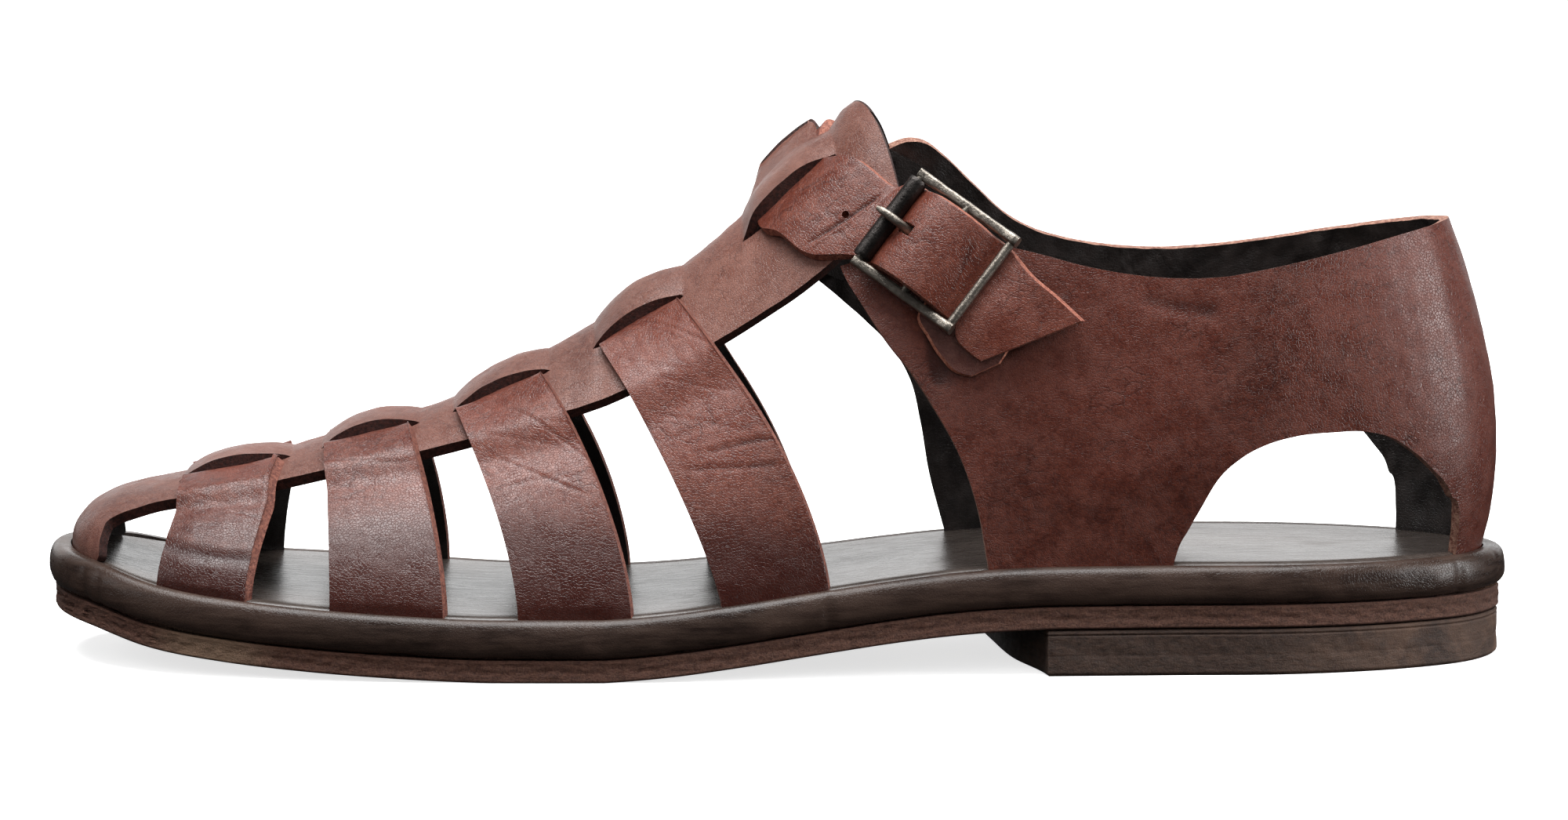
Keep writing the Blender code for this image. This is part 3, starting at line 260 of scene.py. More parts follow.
def skin(v, g, side, lift):
    """Point at a lift over the last: v along it, g up it from 0 at the foot to 1 on the ridge."""
    v, g, lift = np.broadcast_arrays(np.asarray(v, float), np.asarray(g, float), np.asarray(lift, float))
    return lift_off(lambda a, b: last_point(a, b, side), v, g, lift, -side)


# %% [markdown]
# A cut of leather is a sheet with a thickness. It is made here as two grids of points, the flesh side and
# the grain side, that share their faces, with a strip of faces round every open edge. A narrow bevel then
# rounds the cut. Each face remembers what it is: grain, lining or cut edge, so that one material can finish
# all three.

# %% Meshes from grids
GRAIN, LINING, CUT = 0.0, 1.0, 2.0


def grid_quads(index):
    """Quads of a grid of vertex numbers."""
    q = np.stack([index[:-1, :-1], index[:-1, 1:], index[1:, 1:], index[1:, :-1]], -1)
    return q.reshape(-1, 4)


def new_mesh(name, points, quads, uv=None, kind=None, extra=()):
    """An object from points and quads; a quad whose corners repeat becomes a triangle."""
    quads = np.asarray(quads)
    same = [quads[:, i] == quads[:, (i + 1) % 4] for i in range(4)]
    repeats = np.sum(same, axis=0)
    keep = repeats < 2
    quads, same, repeats = quads[keep], [s[keep] for s in same], repeats[keep]
    faces = quads.tolist()
    for k in np.flatnonzero(repeats == 1):
        faces[k] = list(dict.fromkeys(faces[k]))
    mesh = bpy.data.meshes.new(name)
    mesh.from_pydata(np.asarray(points).tolist(), [], faces)
    if kind is not None:
        kind = np.asarray(kind, np.float32)[keep]
        mesh.attributes.new("kind", "FLOAT", "FACE").data.foreach_set("value", kind)
    for label, values in extra:
        values = np.asarray(values, np.float32)
        mesh.attributes.new(label, "FLOAT", "POINT").data.foreach_set("value", values)
    if uv is not None:
        corner = np.zeros(len(mesh.loops), np.int32)
        mesh.loops.foreach_get("vertex_index", corner)
        layer = mesh.uv_layers.new(name="UVMap")
        layer.data.foreach_set("uv", np.asarray(uv, np.float32)[corner].ravel())
    piece = bpy.data.objects.new(name, mesh)
    bpy.context.scene.collection.objects.link(piece)
    return piece


def outward_faces(piece):
    """Merge doubles, drop what no face uses and turn the faces outwards."""
    form = bmesh.new()
    form.from_mesh(piece.data)
    bmesh.ops.remove_doubles(form, verts=form.verts, dist=1e-6)
    loose = [v for v in form.verts if not v.link_faces]
    bmesh.ops.delete(form, geom=loose, context="VERTS")
    bmesh.ops.recalc_face_normals(form, faces=form.faces)
    form.to_mesh(piece.data)
    form.free()


def shade(piece, sharp):
    """Shade smooth but for edges that turn by more than an angle in degrees."""
    piece.data.shade_smooth()
    piece.data.set_sharp_from_angle(angle=np.radians(sharp))


def round_edges(piece, width):
    """Bevel the hard edges."""
    edge = piece.modifiers.new("edge", "BEVEL")
    edge.width = width
    edge.segments = 2
    edge.limit_method = "ANGLE"
    edge.angle_limit = np.radians(42)
    edge.harden_normals = False
    shade(piece, 60)


def sheet(name, inner, outer, quads, uv, crease=None, cut_width=0.0004):
    """A closed sheet of leather between an inner and an outer grid that share their quads."""
    n = len(inner)
    quads = np.asarray(quads)
    ends = np.concatenate([quads[:, [i, (i + 1) % 4]] for i in range(4)])
    ends = ends[ends[:, 0] != ends[:, 1]]
    forward = ends[:, 0].astype(np.int64) * n + ends[:, 1]
    back = ends[:, 1].astype(np.int64) * n + ends[:, 0]
    open_edge = ends[~np.isin(back, forward)]
    a, b = open_edge[:, 0], open_edge[:, 1]
    rim = np.stack([b, a, a + n, b + n], 1)
    faces = np.concatenate([quads, quads[:, ::-1] + n, rim])
    kind = np.repeat([LINING, GRAIN, CUT], [len(quads), len(quads), len(rim)])
    crease = np.zeros(n) if crease is None else crease
    piece = new_mesh(name, np.concatenate([inner, outer]), faces, np.concatenate([uv, uv]), kind,
                     [("crease", np.concatenate([crease, crease]))])
    outward_faces(piece)
    round_edges(piece, cut_width)
    return piece


def lumps(p, size, seed, octaves=3):
    """Soft noise in -1..1: sums of sine waves in seeded directions, each octave half as tall."""
    rng = np.random.default_rng(seed)
    total = np.zeros(p.shape[:-1])
    for octave in range(octaves):
        for _ in range(4):
            direction = rng.normal(size=p.shape[-1])
            direction /= np.linalg.norm(direction)
            phase = rng.uniform(0, 2 * np.pi)
            wave = 2 * np.pi / (size / 2**octave * rng.uniform(0.8, 1.25))
            total += np.sin(p @ direction * wave + phase) / (4 * 2**octave)
    return total


def folds(a, b, rows):
    """Creases as soft troughs with a low ridge beside them, in metres. A row is a line on the flat sheet,
    from (a, b) to (a, b), its depth and its width. It wanders as a sine wave and fades at its ends."""
    total = np.zeros(np.broadcast(a, b).shape)
    for a0, b0, a1, b1, depth, width in rows:
        da, db = a1 - a0, b1 - b0
        length = np.hypot(da, db)
        t = ((a - a0) * da + (b - b0) * db) / length**2
        off = ((a - a0) * db - (b - b0) * da) / length
        off = off + 0.12 * length * np.sin(t * 2.6 + a0 * 900) * 0.35
        fade = ease(t * 4 + 0.5) * ease((1 - t) * 4 + 0.5)
        ridge = 0.4 * bump((off - 1.5 * width) / width)
        total += depth * fade * (ridge - bump(off / width))
    return total


# %% [markdown]
# The camera stands low and far off, level with the outer side, so the sandal is seen almost in profile. The
# floor is pale and sweeps up behind, and large soft lamps stand over and beside it as in a product studio.

# %% Camera
EYE = Vector((0.0015, -1.4, 0.208))
AIM = Vector((0.0015, 0.0, 0.0483))
# Sensor in millimetres, and the focal length and the picture's width in pixels
SENSOR = 36.0
FOCAL_PIXELS = 8979.3
PICTURE_WIDTH = 2000
camera_data = bpy.data.cameras.new("camera")
camera_data.sensor_width = SENSOR
camera_data.lens = FOCAL_PIXELS / PICTURE_WIDTH * SENSOR
camera_data.clip_end = 20
camera = bpy.data.objects.new("camera", camera_data)
camera.location = EYE
camera.rotation_euler = (AIM - EYE).to_track_quat("-Z", "Y").to_euler()
bpy.context.scene.collection.objects.link(camera)
bpy.context.scene.camera = camera
bpy.context.scene.view_settings.view_transform = "Standard"
print("camera lens", round(camera_data.lens, 1), "mm")


# %% Floor and sweep
FLOOR_FRONT, FLOOR_BACK, FLOOR_HALF = -3.0, 1.6, 3.5
SWEEP_RADIUS, WALL_TOP = 0.8, 3.0


def make_sweep():
    """The floor runs back, bends up along a quarter circle and goes on as a wall. It glows a little, so that
    it stays white, and neither lights the leather nor shows in its shine."""
    turn = np.linspace(0, np.pi / 2, 24)
    y = np.concatenate([[FLOOR_FRONT, -0.1, 0.0, 1.2], FLOOR_BACK + SWEEP_RADIUS * np.sin(turn),
                        [FLOOR_BACK + SWEEP_RADIUS]])
    z = np.concatenate([[0.0] * 4, SWEEP_RADIUS * (1 - np.cos(turn)), [WALL_TOP]])
    x = np.linspace(-FLOOR_HALF, FLOOR_HALF, 5)
    shape = (len(x), len(y))
    points = np.stack([np.broadcast_to(q, shape) for q in (x[:, None], y, z)], -1).reshape(-1, 3)
    sweep = new_mesh("sweep", points, grid_quads(np.arange(points.shape[0]).reshape(shape))[:, ::-1])
    sweep.data.shade_smooth()
    material = bpy.data.materials.new("pale_floor")
    material.use_nodes = True
    shader = material.node_tree.nodes["Principled BSDF"]
    shader.inputs["Base Color"].default_value = (0.93, 0.93, 0.93, 1)
    shader.inputs["Roughness"].default_value = 0.9
    shader.inputs["Emission Color"].default_value = (1, 1, 1, 1)
    shader.inputs["Emission Strength"].default_value = 0.70
    sweep.data.materials.append(material)
    sweep.visible_diffuse = False
    sweep.visible_glossy = False


make_sweep()


# %% Lamps
def lamp(name, place, aim, size, power, mirrored=True):
    """A soft box aimed at a point. Where mirrored is false, it lights the leather and leaves no shine."""
    data = bpy.data.lights.new(name, "AREA")
    data.shape = "RECTANGLE"
    data.size, data.size_y = size
    data.energy = power
    light = bpy.data.objects.new(name, data)
    light.location = place
    light.rotation_euler = (Vector(aim) - Vector(place)).to_track_quat("-Z", "Y").to_euler()
    light.visible_glossy = mirrored
    bpy.context.scene.collection.objects.link(light)


world = bpy.data.worlds.new("studio")
bpy.context.scene.world = world
world.use_nodes = True
room = world.node_tree.nodes["Background"]
room.inputs["Color"].default_value = (1, 1, 1, 1)
room.inputs["Strength"].default_value = 0.03
lamp("top", (-0.05, -0.13, 1.35), (0.0, 0.0, 0.0), (1.4, 1.1), 46)
lamp("front", (0.0, -1.3, 0.75), (0.0, 0.0, 0.04), (1.6, 1.0), 11, mirrored=False)
lamp("back", (0.0, 1.3, 0.36), (0.0, 0.0, 0.05), (2.0, 0.62), 5.6)
lamp("right", (1.25, -0.20, 0.32), (0.08, 0.0, 0.05), (0.5, 0.7), 12)
lamp("left", (-1.3, -0.30, 0.60), (-0.08, 0.0, 0.03), (0.5, 0.7), 2.6)

# %% [markdown]
# Leather is seen at three scales: broad clouds of pull-up colour, where oil has moved in the hide, a fine
# pebble of pores, and short wrinkles where it was bent. Each scale is a node group, so the straps, the
# quarter, the rand and the insole can share them with their own values.


# %% Node helpers
def group(name, inputs, outputs):
    """An empty shader group with named inputs and outputs, each (name, type, default)."""
    tree = bpy.data.node_groups.new(name, "ShaderNodeTree")
    for label, kind, default in inputs:
        socket = tree.interface.new_socket(label, in_out="INPUT", socket_type="NodeSocket" + kind)
        if default is not None:
            socket.default_value = default
    for label, kind in outputs:
        tree.interface.new_socket(label, in_out="OUTPUT", socket_type="NodeSocket" + kind)
    return tree, tree.nodes.new("NodeGroupInput"), tree.nodes.new("NodeGroupOutput")


def feed(tree, socket, value):
    """Link an input to a socket, or set it to a value."""
    if isinstance(value, bpy.types.NodeSocket):
        tree.links.new(value, socket)
    else:
        socket.default_value = value


def node(tree, kind, inputs=None, **settings):
    """A node with its settings and its inputs."""
    made = tree.nodes.new("ShaderNode" + kind)
    for key, value in settings.items():
        setattr(made, key, value)
    for key, value in (inputs or {}).items():
        feed(tree, made.inputs[key], value)
    return made


def placed(tree, group_tree, inputs):
    """The outputs of a group that is used with its own values."""
    made = node(tree, "Group", node_tree=group_tree)
    for key, value in inputs.items():
        feed(tree, made.inputs[key], value)
    return made.outputs


def math(tree, operation, a, b=0.0, c=None):
    inputs = {0: a, 1: b}
    if c is not None:
        inputs[2] = c
    return node(tree, "Math", inputs, operation=operation).outputs[0]


def times(tree, a, b):
    return math(tree, "MULTIPLY", a, b)


def plus(tree, a, b):
    return math(tree, "ADD", a, b)


def mapped(tree, value, low, high, to_low=0.0, to_high=1.0):
    """Value carried softly from one range to another, held at the ends."""
    return node(tree, "MapRange", {"Value": value, "From Min": low, "From Max": high, "To Min": to_low,
                                   "To Max": to_high}, interpolation_type="SMOOTHSTEP").outputs[0]


def mixed(tree, factor, a, b):
    made = node(tree, "Mix", data_type="RGBA")
    for socket, value in zip([made.inputs[0], made.inputs[6], made.inputs[7]], (factor, a, b)):
        feed(tree, socket, value)
    return made.outputs[2]


def tinted(tree, tone, mask, amount, colour):
    """A tone drawn towards a colour by a mask times an amount."""
    return mixed(tree, times(tree, mask, amount), tone, colour)


def split(tree, vector):
    """The x, y and z of a vector."""
    return node(tree, "SeparateXYZ", {0: vector}).outputs


def rgb(red, green, blue):
    """A linear colour from 0..255 display values."""
    c = np.array([red, green, blue]) / 255.0
    linear = np.where(c <= 0.04045, c / 12.92, ((c + 0.055) / 1.055) ** 2.4)
    return (*[float(q) for q in linear], 1.0)


# %% Group: clouds of colour in the hide
def make_clouds():
    """Clouds: broad patches of colour. Mottle: the same at a ninth of the size."""
    tree, given, out = group("hide_clouds", [("Vector", "Vector", None), ("Size", "Float", 30.0)],
                             [("Clouds", "Float"), ("Mottle", "Float")])
    where, size = given.outputs["Vector"], given.outputs["Size"]
    broad = node(tree, "TexNoise", {"Vector": where, "Scale": size, "Detail": 4.0, "Roughness": 0.6,
                                    "Distortion": 0.6})
    finer = times(tree, size, 9.0)
    mottle = node(tree, "TexNoise", {"Vector": where, "Scale": finer, "Detail": 6.0, "Roughness": 0.65})
    tree.links.new(mapped(tree, broad.outputs["Fac"], 0.34, 0.68), out.inputs["Clouds"])
    tree.links.new(mapped(tree, mottle.outputs["Fac"], 0.32, 0.70), out.inputs["Mottle"])
    return tree


# %% Group: pores and fine wrinkles
def make_grain():
    """Pores: a bent net of small cells. Cracks: the borders of larger cells, only in worn patches. Height
    adds the two."""
    tree, given, out = group("hide_grain", [("Vector", "Vector", None), ("Pore", "Float", 1400.0),
                                            ("Wrinkle", "Float", 160.0)],
                             [("Height", "Float"), ("Pores", "Float"), ("Cracks", "Float")])
    where = given.outputs["Vector"]
    warp = node(tree, "TexNoise", {"Vector": where, "Scale": 260.0, "Detail": 2.0})
    offset = node(tree, "VectorMath", {0: warp.outputs["Color"], 1: (0.0011, 0.0011, 0.0011)},
                  operation="MULTIPLY")
    moved = node(tree, "VectorMath", {0: where, 1: offset.outputs[0]}, operation="ADD")
    pebble = node(tree, "TexVoronoi", {"Vector": moved.outputs[0], "Scale": given.outputs["Pore"]},
                  feature="DISTANCE_TO_EDGE")
    pores = mapped(tree, pebble.outputs["Distance"], 0.0, 0.14)
    sway = node(tree, "TexNoise", {"Vector": where, "Scale": 110.0, "Detail": 3.0})
    swayed = node(tree, "VectorMath", {0: sway.outputs["Color"], 1: (0.012, 0.012, 0.012),
                                       2: moved.outputs[0]}, operation="MULTIPLY_ADD")
    bent = node(tree, "VectorMath", {0: swayed.outputs[0], 1: (0.7, 0.7, 1.45)}, operation="MULTIPLY")
    lines = node(tree, "TexVoronoi", {"Vector": bent.outputs[0], "Scale": given.outputs["Wrinkle"]},
                 feature="DISTANCE_TO_EDGE")
    patches = node(tree, "TexNoise", {"Vector": where, "Scale": 75.0, "Detail": 2.0})
    smooth = mapped(tree, patches.outputs["Fac"], 0.62, 0.45, 0.0, 0.06)
    wrinkle = mapped(tree, plus(tree, lines.outputs["Distance"], smooth), 0.0, 0.055)
    height = plus(tree, times(tree, pores, 0.55), times(tree, wrinkle, 0.4))
    tree.links.new(height, out.inputs["Height"])
    tree.links.new(pores, out.inputs["Pores"])
    tree.links.new(math(tree, "SUBTRACT", 1.0, wrinkle), out.inputs["Cracks"])
    return tree


# %% Group: the fibres of a raw cut
def make_fibres():
    """Noise that a stretch below 1 draws out into streaks along that axis."""
    inputs = [("Vector", "Vector", None), ("Stretch", "Vector", (1.0, 1.0, 1.0)), ("Scale", "Float", 900.0)]
    tree, given, out = group("cut_fibres", inputs, [("Height", "Float"), ("Mask", "Float")])
    stretched = node(tree, "VectorMath", {0: given.outputs["Vector"], 1: given.outputs["Stretch"]},
                     operation="MULTIPLY")
    fibre = node(tree, "TexNoise", {"Vector": stretched.outputs[0], "Scale": given.outputs["Scale"],
                                    "Detail": 6.0, "Roughness": 0.7})
    tree.links.new(fibre.outputs["Fac"], out.inputs["Height"])
    tree.links.new(mapped(tree, fibre.outputs["Fac"], 0.35, 0.68), out.inputs["Mask"])
    return tree


CLOUDS, HIDE_GRAIN, FIBRES = make_clouds(), make_grain(), make_fibres()


# %% [markdown]
# The upper is pull-up leather: dark red-brown, lighter and dustier where it is stretched over an edge, with
# a soft sheen. Its cut edges are raw and fibrous, its lining is nearly black. The face attribute picks
# between them, and the crease attribute lightens the ridges of the folds and darkens their troughs with
# painted shade. The straps are darkened towards their foot with painted shade, and the spine's cut edges are
# painted dark as the shade under its loops.

# %% Upper leather
def start_material(name):
    """A material, its tree, its shader and the place on the object that its textures follow."""
    material = bpy.data.materials.new(name)
    material.use_nodes = True
    tree = material.node_tree
    return material, tree, tree.nodes["Principled BSDF"], node(tree, "TexCoord").outputs["Object"]


def finish_surface(tree, shader, tone, rough, height, strength, distance):
    """Give the shader its colour, its roughness and a relief whose distance is in metres."""
    feed(tree, shader.inputs["Base Color"], tone)
    feed(tree, shader.inputs["Roughness"], rough)
    relief = node(tree, "Bump", {"Height": height, "Strength": strength, "Distance": distance})
    feed(tree, shader.inputs["Normal"], relief.outputs[0])


def attribute(tree, name):
    return node(tree, "Attribute", attribute_name=name, attribute_type="GEOMETRY").outputs["Fac"]


# Heights in metres between which the painted shade at a strap's foot sets in, from none to all of it
FOOT_SHADE_HEIGHTS = (0.040, 0.026)
# Reliefs in metres from which a crease begins to count as a ridge or a trough, and counts in full; the
# troughs get painted shade
RIDGES, SHADED_TROUGHS = (0.00006, 0.00035), (-0.00005, -0.0003)


def upper_leather(name, deep, middle, light, cut_dark, cut_light, dullness, foot_shade=0.0, gloss=0.5):
    """Grain, lining and cut edge in one material, chosen by the face attribute."""
    material, tree, shader, where = start_material(name)
    kind, crease = attribute(tree, "kind"), attribute(tree, "crease")
    is_lining = math(tree, "COMPARE", kind, LINING, 0.3)
    is_cut = math(tree, "COMPARE", kind, CUT, 0.3)
    clouds = placed(tree, CLOUDS, {"Vector": where, "Size": 19.0})
    grain = placed(tree, HIDE_GRAIN, {"Vector": where, "Pore": 1700.0, "Wrinkle": 230.0})
    fibres = placed(tree, FIBRES, {"Vector": where, "Scale": 1300.0})
    speckle = placed(tree, FIBRES, {"Vector": where, "Scale": 900.0})
    tone = tinted(tree, middle, clouds["Clouds"], 0.75, deep)
    tone = tinted(tree, tone, speckle["Mask"], 0.26, light)
    tone = tinted(tree, tone, clouds["Mottle"], 0.18, light)
    # Painted shade: the tone darkens towards the foot of a strap, by height, its border made uneven by the
    # clouds
    uneven = plus(tree, split(tree, where)[2], times(tree, clouds["Clouds"], 0.006))
    low = mapped(tree, uneven, *FOOT_SHADE_HEIGHTS)
    tone = tinted(tree, tone, low, foot_shade, deep)
    tone = tinted(tree, tone, mapped(tree, crease, *RIDGES), 0.3, light)
    # Painted shade in the troughs of the creases
    tone = tinted(tree, tone, mapped(tree, crease, *SHADED_TROUGHS), 0.75, deep)
    tone = tinted(tree, tone, math(tree, "SUBTRACT", 1.0, grain["Pores"]), 0.35, deep)
    open_cracks = math(tree, "SUBTRACT", 0.42, times(tree, low, 0.4))
    tone = mixed(tree, times(tree, grain["Cracks"], open_cracks), tone, deep)
    lining = mixed(tree, clouds["Mottle"], rgb(18, 14, 13), rgb(40, 33, 31))
    cut = mixed(tree, fibres["Mask"], cut_dark, cut_light)
    tone = mixed(tree, is_lining, tone, lining)
    tone = mixed(tree, is_cut, tone, cut)
    rough = mapped(tree, clouds["Mottle"], 0.0, 1.0, dullness - 0.05, dullness + 0.10)
    rough = plus(tree, rough, times(tree, is_cut, 0.35))
    rough = plus(tree, rough, times(tree, is_lining, 0.15))
    height = plus(tree, grain["Height"], times(tree, clouds["Mottle"], 0.2))
    height = plus(tree, height, times(tree, times(tree, fibres["Height"], is_cut), 3.0))
    finish_surface(tree, shader, tone, rough, height, 0.6, 0.00012)
    shader.inputs["Specular IOR Level"].default_value = gloss
    shader.inputs["Coat Weight"].default_value = 0.04
    shader.inputs["Coat Roughness"].default_value = 0.30
    return material


DEEP, MIDDLE, LIGHT = rgb(46, 17, 14), rgb(88, 39, 29), rgb(150, 86, 66)
# The straps carry painted shade towards their foot
strap_leather = upper_leather("strap_leather", DEEP, MIDDLE, LIGHT, rgb(84, 40, 32), rgb(138, 86, 70), 0.34,
                              foot_shade=0.8)
# The spine's cut edges are painted near black: painted shade on the loops' lips, which face down over the
# slits
spine_leather = upper_leather("spine_leather", rgb(64, 36, 31), rgb(98, 58, 48), rgb(148, 106, 92),
                              rgb(30, 14, 12), rgb(64, 32, 26), 0.40, gloss=0.36)
quarter_leather = upper_leather("quarter_leather", rgb(36, 13, 10), rgb(80, 35, 26), rgb(130, 70, 53),
                                rgb(104, 62, 50), rgb(170, 130, 112), 0.37, gloss=0.42)
ankle_leather = upper_leather("ankle_leather", DEEP, MIDDLE, LIGHT, rgb(100, 48, 36), rgb(166, 106, 86), 0.34)
chape_leather = upper_leather("chape_leather", rgb(56, 26, 22), rgb(84, 42, 34), rgb(128, 80, 68),
                              rgb(140, 74, 55), rgb(200, 136, 112), 0.46)


# %% [markdown]
# The rand is the darkest leather, waxed and rubbed, and drawn lighter where its bead faces up, a painted
# highlight. The insole has the silky look of a burnished vegetable leather with fine lines along the foot.
# The sole's edge is bare fibre, and the heel is dyed over its lifts.

# %% Leather of the rand, the insole, the sole and the heel
def make_rand_leather():
    material, tree, shader, where = start_material("rand_leather")
    clouds = placed(tree, CLOUDS, {"Vector": where, "Size": 40.0})
    streaks = placed(tree, FIBRES, {"Vector": where, "Stretch": (0.12, 0.12, 1.0), "Scale": 700.0})
    grain = placed(tree, HIDE_GRAIN, {"Vector": where, "Pore": 1700.0, "Wrinkle": 120.0})
    painted_top_light = mapped(tree, split(tree, node(tree, "NewGeometry").outputs["Normal"])[2], 0.3, 1.0)
    tone = mixed(tree, clouds["Clouds"], rgb(34, 25, 22), rgb(54, 41, 36))
    tone = tinted(tree, tone, streaks["Mask"], 0.30, rgb(84, 66, 56))
    # Painted highlight: the bead's upward face is drawn lighter
    tone = tinted(tree, tone, painted_top_light, 0.08, rgb(80, 66, 58))
    rough = mapped(tree, streaks["Mask"], 0, 1, 0.26, 0.36)
    height = plus(tree, grain["Height"], times(tree, streaks["Height"], 0.5))
    finish_surface(tree, shader, tone, rough, height, 0.45, 0.00008)
    shader.inputs["Specular IOR Level"].default_value = 0.30
    return material


def make_insole_leather():
    material, tree, shader, where = start_material("insole_leather")
    clouds = placed(tree, CLOUDS, {"Vector": where, "Size": 22.0})
    fine = placed(tree, FIBRES, {"Vector": where, "Stretch": (0.06, 1.0, 1.0), "Scale": 1500.0})
    grain = placed(tree, HIDE_GRAIN, {"Vector": where, "Pore": 2200.0, "Wrinkle": 240.0})
    tone = mixed(tree, clouds["Clouds"], rgb(44, 38, 35), rgb(60, 52, 48))
    tone = tinted(tree, tone, fine["Mask"], 0.35, rgb(88, 78, 72))
    rough = mapped(tree, fine["Mask"], 0, 1, 0.24, 0.34)
    height = plus(tree, times(tree, grain["Height"], 0.6), fine["Height"])
    finish_surface(tree, shader, tone, rough, height, 0.4, 0.00006)
    shader.inputs["Coat Weight"].default_value = 0.10
    shader.inputs["Coat Roughness"].default_value = 0.35
    return material


# Places along the foot, in metres, between which the sole's edge is worn pale at the front of the ball: each
# pair is where the wear begins and where it is full
WORN_FRONT, WORN_REAR = (-0.126, -0.114), (-0.095, -0.108)
# The same for the scuffed back of the heel
SCUFFED = (0.088, 0.142)


def make_sole_leather():
    material, tree, shader, where = start_material("sole_leather")
    at_edge = math(tree, "COMPARE", attribute(tree, "kind"), CUT, 0.3)
    clouds = placed(tree, CLOUDS, {"Vector": where, "Size": 45.0})
    layers = placed(tree, FIBRES, {"Vector": where, "Stretch": (0.38, 0.38, 1.0), "Scale": 1500.0})
    fuzz = placed(tree, FIBRES, {"Vector": where, "Scale": 2200.0})
    x = split(tree, where)[0]
    ball = times(tree, mapped(tree, x, *WORN_FRONT), mapped(tree, x, *WORN_REAR))
    tone = mixed(tree, layers["Mask"], rgb(60, 37, 30), rgb(88, 57, 46))
    tone = tinted(tree, tone, fuzz["Mask"], 0.30, rgb(140, 102, 84))
    tone = tinted(tree, tone, ball, 0.55, rgb(140, 116, 94))
    under = mixed(tree, clouds["Clouds"], rgb(92, 62, 44), rgb(136, 98, 72))
    tone = mixed(tree, at_edge, under, tone)
    finish_surface(tree, shader, tone, 0.82, plus(tree, layers["Height"], fuzz["Height"]), 0.9, 0.00035)
    return material


def make_heel_leather():
    material, tree, shader, where = start_material("heel_leather")
    clouds = placed(tree, CLOUDS, {"Vector": where, "Size": 55.0})
    layers = placed(tree, FIBRES, {"Vector": where, "Stretch": (0.32, 0.32, 1.0), "Scale": 1300.0})
    fuzz = placed(tree, FIBRES, {"Vector": where, "Scale": 2400.0})
    worn = times(tree, mapped(tree, split(tree, where)[0], *SCUFFED), clouds["Clouds"])
    tone = mixed(tree, layers["Mask"], rgb(36, 24, 20), rgb(62, 44, 36))
    tone = tinted(tree, tone, worn, 0.65, rgb(124, 92, 72))
    tone = tinted(tree, tone, fuzz["Mask"], 0.22, rgb(104, 80, 64))
    finish_surface(tree, shader, tone, 0.66, plus(tree, layers["Height"], fuzz["Height"]), 0.7, 0.00025)
    return material


rand_leather = make_rand_leather()
insole_leather = make_insole_leather()
sole_leather = make_sole_leather()
heel_leather = make_heel_leather()


# %% [markdown]
# The buckle is plated steel with an antique finish: dark in its hollows, rubbed grey on its high places. The
# roller is darker because its plating is worn by the strap.

# %% Metal of the buckle
def make_metal(name, dark, light, rough):
    """Metal that is dark in its hollows and rubbed light where the surface is pointed."""
    material, tree, shader, where = start_material(name)
    clouds = placed(tree, CLOUDS, {"Vector": where, "Size": 240.0})
    point = mapped(tree, node(tree, "NewGeometry").outputs["Pointiness"], 0.47, 0.56)
    tone = mixed(tree, clouds["Clouds"], dark, light)
    tone = tinted(tree, tone, point, 0.6, light)
    rough = mapped(tree, clouds["Mottle"], 0, 1, rough, rough + 0.16)
    finish_surface(tree, shader, tone, rough, clouds["Mottle"], 0.35, 0.0001)
    shader.inputs["Metallic"].default_value = 0.9
    return material


buckle_metal = make_metal("buckle_metal", rgb(100, 95, 89), rgb(156, 148, 138), 0.28)
roller_metal = make_metal("roller_metal", rgb(40, 38, 37), rgb(70, 66, 64), 0.28)


# %% Dress a piece
def dress(piece, material, slot_name, *nodes):
    """Give a piece its material and its body, and hide the nodes it stands for. The slot name is not used."""
    piece.data.materials.clear()
    piece.data.materials.append(material)
    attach(piece, "root")
    if nodes:
        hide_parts(*nodes)
    print(piece.name, len(piece.data.polygons), "faces")
    return piece


# %% [markdown]
# The toe piece runs up the foot as a spine. It is slit along both sides of its centre so that the straps can
# pass under it, and the centre stands up over each strap as a loop. One grid makes it: lines from edge to
# edge, doubled at the slits, and merged again where a slit is closed.

# %% Tables of the spine and the straps
TIP = float(share(TOE_X))
# Share of LENGTH and share of the way up at the spine's edge, share of LENGTH on the ridge
SPINE = (
    (TIP, 0.00, TIP), (0.027, 0.00, 0.025), (0.036, 0.00, 0.029), (0.0440, 0.00, 0.032),
    (0.0460, 0.05, 0.034), (0.0452, 0.20, 0.0395), (0.0460, 0.41, 0.050), (0.057, 0.505, 0.066),
    (0.074, 0.585, 0.084),
    (0.105, 0.630, 0.110), (0.188, 0.650, 0.188), (0.290, 0.640, 0.290), (0.380, 0.590, 0.380),
    (0.460, 0.580, 0.460), (0.535, 0.550, 0.530), (0.586, 0.575, 0.560),
)
# First row of SPINE that is the spine's own edge over the straps
SPINE_FROM = 9
# Share of the way from edge to ridge at which the slits lie, the same at the top slit, and the share of
# LENGTH from which, and over which, one turns into the other
SLIT, TOP_SLIT = 0.47, 0.55
TOP_FROM = (0.450, 0.025)
SLIT_OPEN = 0.010
LOOP_RISE = 0.0026
MARGIN_PRESS = 0.0008
# The flap's lift at its tip, and the grid columns before the tip where the lift begins and over which it
# grows
FLAP_LIFT, FLAP_COLUMNS, FLAP_GROWTH = 0.0014, 34, 26.0
# Columns at the tip where no slit is open
WHOLE_TIP = 6
# Share of the way up over which the leather is pared thin at the sole
SKIVED = 0.20
# How far the loop's lip overhangs and how deep the overhang reaches, as shares of the way from edge to ridge
LIP, LIP_DEPTH = 0.030, 0.06
TOP_LIP = 0.0010
